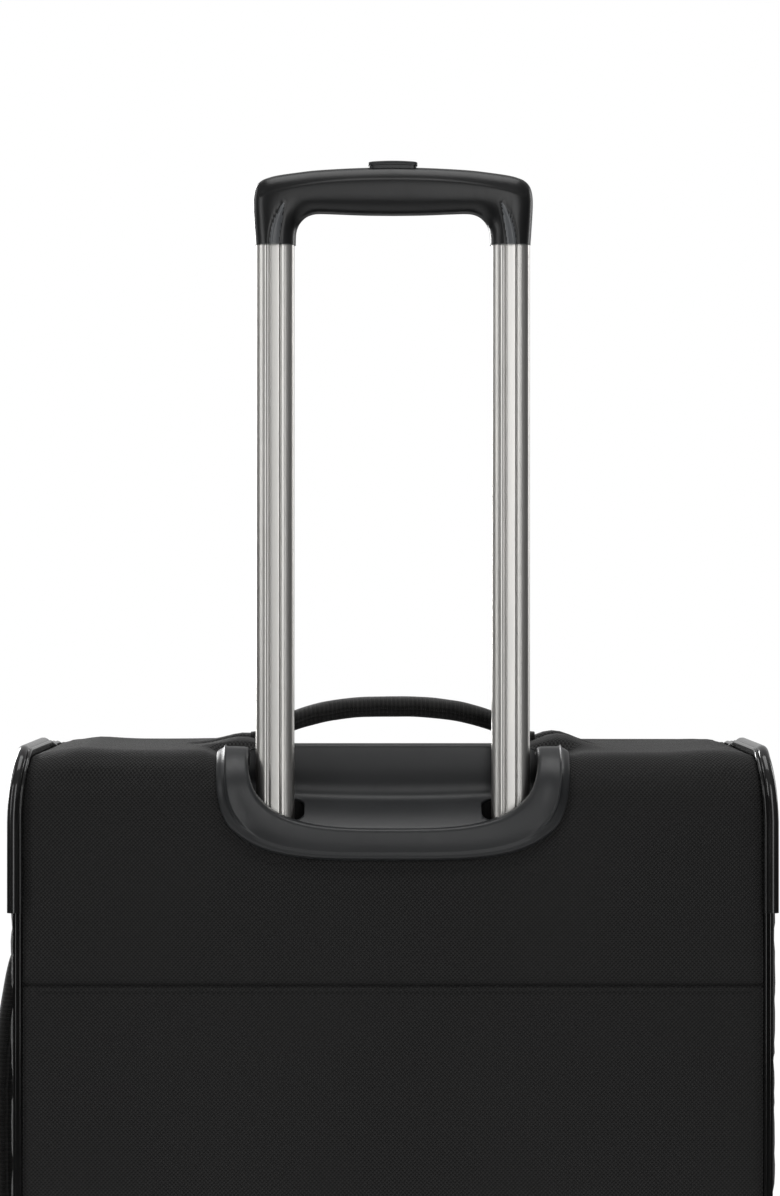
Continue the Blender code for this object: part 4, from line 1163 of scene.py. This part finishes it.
def build_lid_inside():
    """Lining of the lid with its net pocket and the tape that binds the net."""
    xs = spread(LID_LO.x + 0.006, LID_HI.x - 0.006, 0.010)
    zs = spread(LID_LO.z + 0.006, LID_HI.z - 0.006, 0.010)

    def place(z, x):
        near = edge_distance(x, z, xs[0], zs[0], xs[-1], zs[-1])
        soft = 0.0012 * wobble(x, 3.0, z, 0.05) * smooth(near / 0.03)
        depth = LID_FRONT + 0.0048 + (0.0016 + soft) * smooth(near / 0.02)
        return lid_shape(Vector((x, depth, z))), (x, z)

    piece("lid_lining", surface(zs, xs, place, True), "lid", "lining", thick=0.0006)

    lo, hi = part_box("mesh_panel")

    def net_place(x, z, near):
        soft = 0.0040 * smooth(near / 0.05) + 0.0010 * wobble(x, 4.0, z, 0.04) * smooth(near / 0.03)
        return Vector((x, hi.y + 0.0006 + soft, z))

    mesh = sheet((lo.x, lo.z), (hi.x, hi.z), 0.02, spread(lo.x, hi.x, 0.008), spread(lo.z, hi.z, 0.008),
                 net_place, True)
    piece("lid_net", mesh, "lid", "mesh", ["mesh_panel"], 0.0005)

    outline = rounded_rect(lo.x, lo.z, hi.x, hi.z, 0.02, 0.008)
    section = [(-0.0045, -0.0004), (-0.0045, 0.0006), (-0.003, 0.0012), (0.003, 0.0012),
               (0.0045, 0.0006), (0.0045, -0.0004)]
    rows = swept([Vector((x, hi.y + 0.0010, z)) for x, z in outline], section, Vector((0, 1, 0)))
    weave = [[(s, length) for s, _ in section] for length in run_lengths(outline)]
    piece("net_binding", grid(rows, weave, ring=True, loop=True), "lid", "zip")


def build_pocket(key, node, seed):
    """One stuffed pocket on the lid: soft body, piped seam, storm flap and zip."""
    lo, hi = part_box(node)
    slide_lo, slide_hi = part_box(f"{key}_slider")
    zip_z = (slide_lo.z + slide_hi.z) / 2
    xs = merged(spread(lo.x, hi.x, 0.006), near_ends(lo.x, hi.x, 0.0015, 0.003))
    zs = merged(spread(lo.z, hi.z, 0.006), near_ends(lo.z, hi.z, 0.0015, 0.003),
                near_ends(zip_z, zip_z, 0.006, 0.004))

    def place(x, z, near):
        corner = min(x - lo.x, hi.x - x, 0.03) + min(z - lo.z, hi.z - z, 0.03)
        rise = (hi.y - lo.y) * (1 - (1 - min(1.0, near / 0.011)) ** 2.4) - 0.0012
        soft = 0.0010 * wobble(x, seed, z, 0.07) + 0.0005 * wobble(x, seed, z, 0.025)
        soft -= 0.0008 * bell(corner - 0.020, 0.006) + 0.0016 * smooth(1 - abs(z - zip_z) / 0.0065)
        return Vector((x, hi.y - rise - soft * smooth(near / 0.03), z))

    def held(point):
        near = edge_distance(point.x, point.z, lo.x, lo.z, hi.x, hi.z)
        return near < 0.0075 or abs(point.z - zip_z) < 0.0185

    mesh = stuffed(sheet((lo.x, lo.z), (hi.x, hi.z), 0.020, xs, zs, place), held, 0.03, 0.0065)
    piece(f"{key}_pocket_fabric", mesh, "lid", "fabric", [node], 0.0022)
    outline = rounded_rect(lo.x + 0.0015, lo.z + 0.0015, hi.x - 0.0015, hi.z - 0.0015, 0.019, 0.006)
    piping(f"{key}_pocket_piping", outline, hi.y - 0.0022, 0.0019)
    pocket_zip(key, lo.x + 0.017, hi.x - 0.017, lo.y + 0.0016, zip_z)


def pocket_zip(key, x0, x1, face, zip_z):
    """Two rows of interlocked teeth on a woven tape, under a storm flap."""
    pitch = 0.0020
    axes = Vector((1, 0, 0)), Vector((0, 0, 1)), Vector((0, -1, 0))
    teeth = []
    for i in range(round((x1 - x0) / pitch)):
        centre = Vector((x0 + i * pitch, face - 0.0004, zip_z + (0.0009 if i % 2 else -0.0009)))
        teeth.append(tooth(centre, axes, (0.0007, 0.0015, 0.0011)))
    piece(f"{key}_zip_teeth", solids_mesh(teeth), "lid", "zip_teeth")

    mesh = surface(spread(x0 - 0.003, x1 + 0.003, 0.006), (0.0065, 0.002, -0.002, -0.0065),
                   lambda x, dz: (Vector((x, face + 0.0002, zip_z + dz)), (dz, x)))
    piece(f"{key}_zip_tape", mesh, "lid", "zip", thick=0.0006)

    def flap(x, place):
        along, out = place
        end = smooth(min(x - x0 + 0.006, x1 + 0.006 - x) / 0.012)
        return Vector((x, face - lerp(-0.0026, out, end), zip_z + along)), (along, x)

    section = ((0.0165, -0.0010), (0.0160, 0.0004), (0.0120, 0.0012), (0.0070, 0.0012), (0.0052, 0.0010),
               (0.0048, 0.0000))
    mesh = surface(spread(x0 - 0.006, x1 + 0.006, 0.004), section, flap)
    piece(f"{key}_storm_flap", mesh, "lid", "fabric", thick=0.0008)


def tooth(centre, axes, size):
    """Rings of a zip tooth, drawn in at its crown; size is half its length, half its width, its height."""
    along, across, out = axes
    length, width, height = size
    rings = []
    for level, shrink in ((0.0, 1.0), (height * 0.65, 1.0), (height, 0.62)):
        rings.append([centre + along * (a * length * shrink) + across * (c * width * shrink) + out * level
                      for a, c in CORNERS])
    return rings


def build_main_zip(body, sign):
    """One half of the zip round the case: woven tape and, on the three sides that open, its teeth."""
    outline = lid_outline(0.0008, 0.004)
    section = ((0.0052, -0.0012), (0.0040, 0.0002), (0.0022, 0.0006), (0.0006, 0.0004), (0.0004, -0.0010),
               (0.0040, -0.0022))
    rows, weave, teeth = [], [], []
    length = 0.0
    next_tooth = 0.0 if sign > 0 else 0.0012
    for i, (x, z) in enumerate(outline):
        nx, nz = outline[(i + 1) % len(outline)]
        px, pz = outline[i - 1]
        along = Vector((nx - px, 0, nz - pz)).normalized()
        out = Vector((along.z, 0, -along.x))
        rows.append([lid_shape(Vector((x, ZIP_Y + sign * y, z)) + out * lift) for y, lift in section])
        weave.append([(k * 0.0012, length) for k in range(len(section))])
        step = math.hypot(nx - x, nz - z)
        on_hinge = x < LID_LO.x + 0.004 and 0.06 < z < CASE_TOP - 0.03
        while next_tooth < length + step:
            t = (next_tooth - length) / step
            spot = Vector((lerp(x, nx, t), ZIP_Y + sign * 0.0006, lerp(z, nz, t))) + out * 0.0003
            if not on_hinge:
                axes = along, Vector((0, 1, 0)), out
                teeth.append(tooth(lid_shape(spot), axes, (0.00085, 0.0013, 0.0012)))
            next_tooth += 0.0024
        length += step
    piece(f"{body}_zip", grid(rows, weave, ring=True, loop=True), body, "zip", [f"{body}_zip_tape"])
    piece(f"{body}_zip_teeth", solids_mesh(teeth), body, "zip_teeth")


def build_hinge():
    """Fabric hinge strip along the fixed edge, bowed across the seam between case and lid; it rides on
    neither body.
    """
    def place(z, y):
        lift = 0.0012 + 0.0010 * bell(y, 0.006) - 0.0012 * smooth((abs(y) - 0.012) / 0.004)
        return lean(Vector((LID_LO.x - lift, ZIP_Y + y, z))), (y, z)

    zs = spread(LID_LO.z + 0.030, LID_HI.z - 0.034, 0.008)
    mesh = surface(zs, spread(-0.016, 0.016, 0.002), place, True)
    mesh.materials.append(MATERIALS["fabric"])
    strip = placed("hinge_strip", mesh)
    thicken(strip, 0.0012)
    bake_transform(strip)


# ---------------------------------------------------------------- inside the case
def build_lining():
    """Main compartment lining: soft sides, quilted back wall and tie straps."""
    lo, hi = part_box("lining_tub")
    outline = rounded_rect(lo.x, lo.z, hi.x, hi.z, 0.012, 0.008)
    lengths = run_lengths(outline)
    middle_z = (lo.z + hi.z) / 2

    def wall(i, y):
        x, z = outline[i]
        away = Vector((x, 0, z - middle_z)).normalized()
        t = (y - lo.y) / (hi.y - lo.y)
        puff = (0.0010 * wobble(x, y, z, 0.04, 9.0) - 0.0016) * math.sin(math.pi * t)
        return lean(Vector((x, y, z)) + away * puff), (y, lengths[i])

    mesh = surface(range(len(outline)), spread(lo.y + 0.002, hi.y - 0.001, 0.006), wall, loop=True)
    piece("lining_sides", face_outward(mesh, middle_z), "case", "lining", ["lining_tub"], 0.0008)

    def back(z, x):
        near = smooth(edge_distance(x, z, lo.x, lo.z, hi.x, hi.z) / 0.03)
        ribs = 0.0016 * abs(math.sin(math.pi * x / 0.078)) + 0.0008 * wobble(x, 5.0, z, 0.05)
        depth = hi.y - 0.0010 - ribs * near
        over_wheel = smooth((abs(x) - HOUSING_LO.x + 0.018) / 0.012)
        over_wheel *= smooth((HOUSING_HI.z + 0.014 - z) / 0.012)
        depth = lerp(depth, min(depth, HOUSING_LO.y - 0.004), over_wheel)
        return lean(Vector((x, depth, z))), (x, z)

    mesh = surface(spread(lo.z + 0.001, hi.z - 0.001, 0.007), spread(lo.x + 0.001, hi.x - 0.001, 0.008), back)
    piece("lining_back", mesh, "case", "lining", thick=0.0008)
    for side, _ in SIDES:
        tie_strap(f"tie_strap_{side}", f"strap_{side}")


def tie_strap(node, name):
    """Slack strap that ties the load down."""
    lo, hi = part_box(node)

    def place(x, z):
        slack = 0.0016 * math.sin(math.pi * (x - lo.x) / (hi.x - lo.x))
        edge = 0.0004 * bell(min(z - lo.z, hi.z - z), 0.0015)
        return Vector((x, lo.y - slack - edge, z)), (z, x)

    mesh = surface(spread(lo.x, hi.x, 0.006), spread(lo.z, hi.z, 0.003), place, True)
    piece(name, mesh, "case", "webbing", [node], 0.0014)


# ---------------------------------------------------------------- wheels
def lathe(section, middle, steps):
    """Closed ring of a wheel, turned about X; section holds (radius, x) of one half."""
    whole = section + [(r, -x) for r, x in section[::-1]]
    turns = circle(steps)
    return grid([[middle + Vector((x, r * c, r * s)) for r, x in whole] for c, s in turns],
                ring=True, loop=True)


def build_wheel(side):
    """Tyre with a crowned tread, and a hub with six spokes."""
    lo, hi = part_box(f"tyre_{side}")
    middle = (lo + hi) / 2
    radius = (hi.z - lo.z) / 2
    half = (hi.x - lo.x) / 2
    body = f"wheel_{side}"
    tyre = [(0.0219, -half * 0.93), (0.0240, -half * 0.97), (0.0290, -half),
            (radius - 0.0018, -half * 0.82), (radius - 0.0005, -half * 0.55),
            (radius - 0.0001, -half * 0.30), (radius - 0.0009, -half * 0.24),
            (radius - 0.0009, -half * 0.16), (radius, -half * 0.10)]
    piece(f"wheel_tread_{side}", lathe(tyre, middle, 64), body, "rubber", [f"tyre_{side}"])
    hub = [(0.0043, -0.0130), (0.0082, -0.0130), (0.0090, -0.0124), (0.0092, -0.0060), (0.0170, -0.0050),
           (0.0176, -0.0098), (0.0184, -0.0105), (0.0212, -0.0105), (0.0217, -0.0100)]
    piece(f"hub_{side}", lathe(hub, middle, 48), body, "hub", [f"wheel_hub_{side}"])
    spokes = []
    for c, s in circle(6):
        rings = []
        for reach, width in ((0.0080, 0.0020), (0.0130, 0.0014), (0.0182, 0.0019)):
            rings.append([middle + Vector((a * 0.0088, c * reach - s * b * width, s * reach + c * b * width))
                          for a, b in CORNERS])
        spokes.append(rings)
    soften(piece(f"spokes_{side}", solids_mesh(spokes), body, "hub"), 0.0005)


# ---------------------------------------------------------------- hard parts kept from the CAD
def both(*names):
    """Node names for the left and the right side."""
    return [f"{name}_{side}" for name in names for side, _ in SIDES]


def finish_cad():
    """Give the small moulded and metal parts of the CAD their finish and round their edges."""
    plan = [("trim", 0.0006, both("wheel_housing", "front_foot") + ["side_foot_lower", "side_foot_upper",
                                                                    "tube_bracket"]),
            ("trim", 0.0010, ["rear_bumper"]), ("trim", 0.0015, ["strap_buckle"]),
            ("steel", 0.0006, ["main_slider_upper", "main_slider_lower", "front_slider", "top_slider"]),
            ("steel", 0.0004, ["main_pull_upper", "main_pull_lower"]),
            ("steel", 0.0003, ["front_pull", "top_pull"]),
            ("steel", 0, both("axle", "release_rod", "lock_pin") + ["opening_wire"]),
            ("aluminium", 0, both("fixed_tube")), ("board", 0, ["back_board"])]
    for key, width, names in plan:
        for name in names:
            obj = frame["nodes"][name]
            obj.data.materials.clear()
            obj.data.materials.append(MATERIALS[key])
            if width:
                soften(obj, width, 35)


# ---------------------------------------------------------------- studio
def area_light(name, place, target, width, height, power):
    """Soft box aimed at a point."""
    data = bpy.data.lights.new(name, "AREA")
    adjust(data, shape="RECTANGLE", size=width, size_y=height, energy=power)
    obj = placed(name, data)
    obj.location = place
    obj.rotation_euler = (Vector(target) - Vector(place)).to_track_quat("-Z", "Y").to_euler()


def build_world():
    """Surround that the camera sees as white, and the object as a soft grey room."""
    world = bpy.data.worlds.new("studio")
    bpy.context.scene.world = world
    n = Nodes(world)
    n.tree.nodes.clear()
    where = n.node("ShaderNodeTexCoord").outputs["Generated"]
    _, depth, up = n.node("ShaderNodeSeparateXYZ", vector=where).outputs[:3]
    glow = n.math("MULTIPLY_ADD", n.math("MULTIPLY", depth, depth), 0.16, 0.07)
    glow = n.math("MULTIPLY_ADD", n.math("MAXIMUM", up, 0.0), 0.26, glow)
    glow = n.math("MULTIPLY_ADD", n.math("MINIMUM", depth, 0.0), -0.34, glow)
    dim = n.node("ShaderNodeBackground", strength=glow)
    white = n.node("ShaderNodeBackground", color=grey(1.0))
    mix = n.node("ShaderNodeMixShader")
    n.put(mix.inputs[0], n.node("ShaderNodeLightPath").outputs["Is Camera Ray"])
    n.put(mix.inputs[1], dim.outputs[0])
    n.put(mix.inputs[2], white.outputs[0])
    n.node("ShaderNodeOutputWorld", surface=mix.outputs[0])
    bpy.context.scene.view_settings.view_transform = "Standard"


def build_studio():
    """Pale floor, soft boxes and the camera."""
    turns = circle(96)
    mesh = grid([[Vector((r * c, r * s, 0.0)) for c, s in turns] for r in (0.0002, 1.0, 3.0, 9.0)], ring=True)
    mesh.materials.append(floor_material())
    placed("studio_floor", mesh)

    middle = (0, 0, 0.55)
    area_light("key", (-0.55, 3.4, 1.15), middle, 1.3, 2.3, 20)
    area_light("side", (2.6, 2.0, 1.3), middle, 1.0, 1.6, 12)
    area_light("top", (0, 0.3, 2.9), (0, 0, 0.6), 1.8, 1.8, 24)
    area_light("front", (1.9, -2.9, 1.5), middle, 1.2, 2.0, 72)
    area_light("front_side", (-2.8, -1.5, 1.4), middle, 1.0, 1.6, 18)
    area_light("far_side", (3.2, -0.9, 1.9), middle, 0.9, 1.4, 9)

    camera = placed("camera", bpy.data.cameras.new("camera"))
    camera.data.lens = 102.9
    camera.location = (0.0017, BACK_Y + 2.0, 0.761)
    camera.rotation_euler = (math.radians(90), 0, math.radians(180))
    bpy.context.scene.camera = camera


# ---------------------------------------------------------------- build everything
def main():
    """Build every piece, then the studio."""
    build_wrap()
    build_stitches()
    side_panel("left", -1, ["side_foot_lower", "side_foot_upper", "wheel_housing_left"])
    side_panel("right", 1, ["side_handle_anchor_a", "side_handle_anchor_b", "wheel_housing_right"])
    build_edges()
    build_rim()
    build_tray()
    build_tubes()
    build_grip()
    build_button()
    build_carry_handles()
    build_gusset()
    build_lid_front()
    build_lid_inside()
    build_pocket("front", "front_pocket", 11.0)
    build_pocket("top", "upper_pocket", 23.0)
    build_main_zip("case", 1)
    build_main_zip("lid", -1)
    build_hinge()
    build_lining()
    for side, _ in SIDES:
        build_wheel(side)
    finish_cad()
    build_world()
    build_studio()


main()
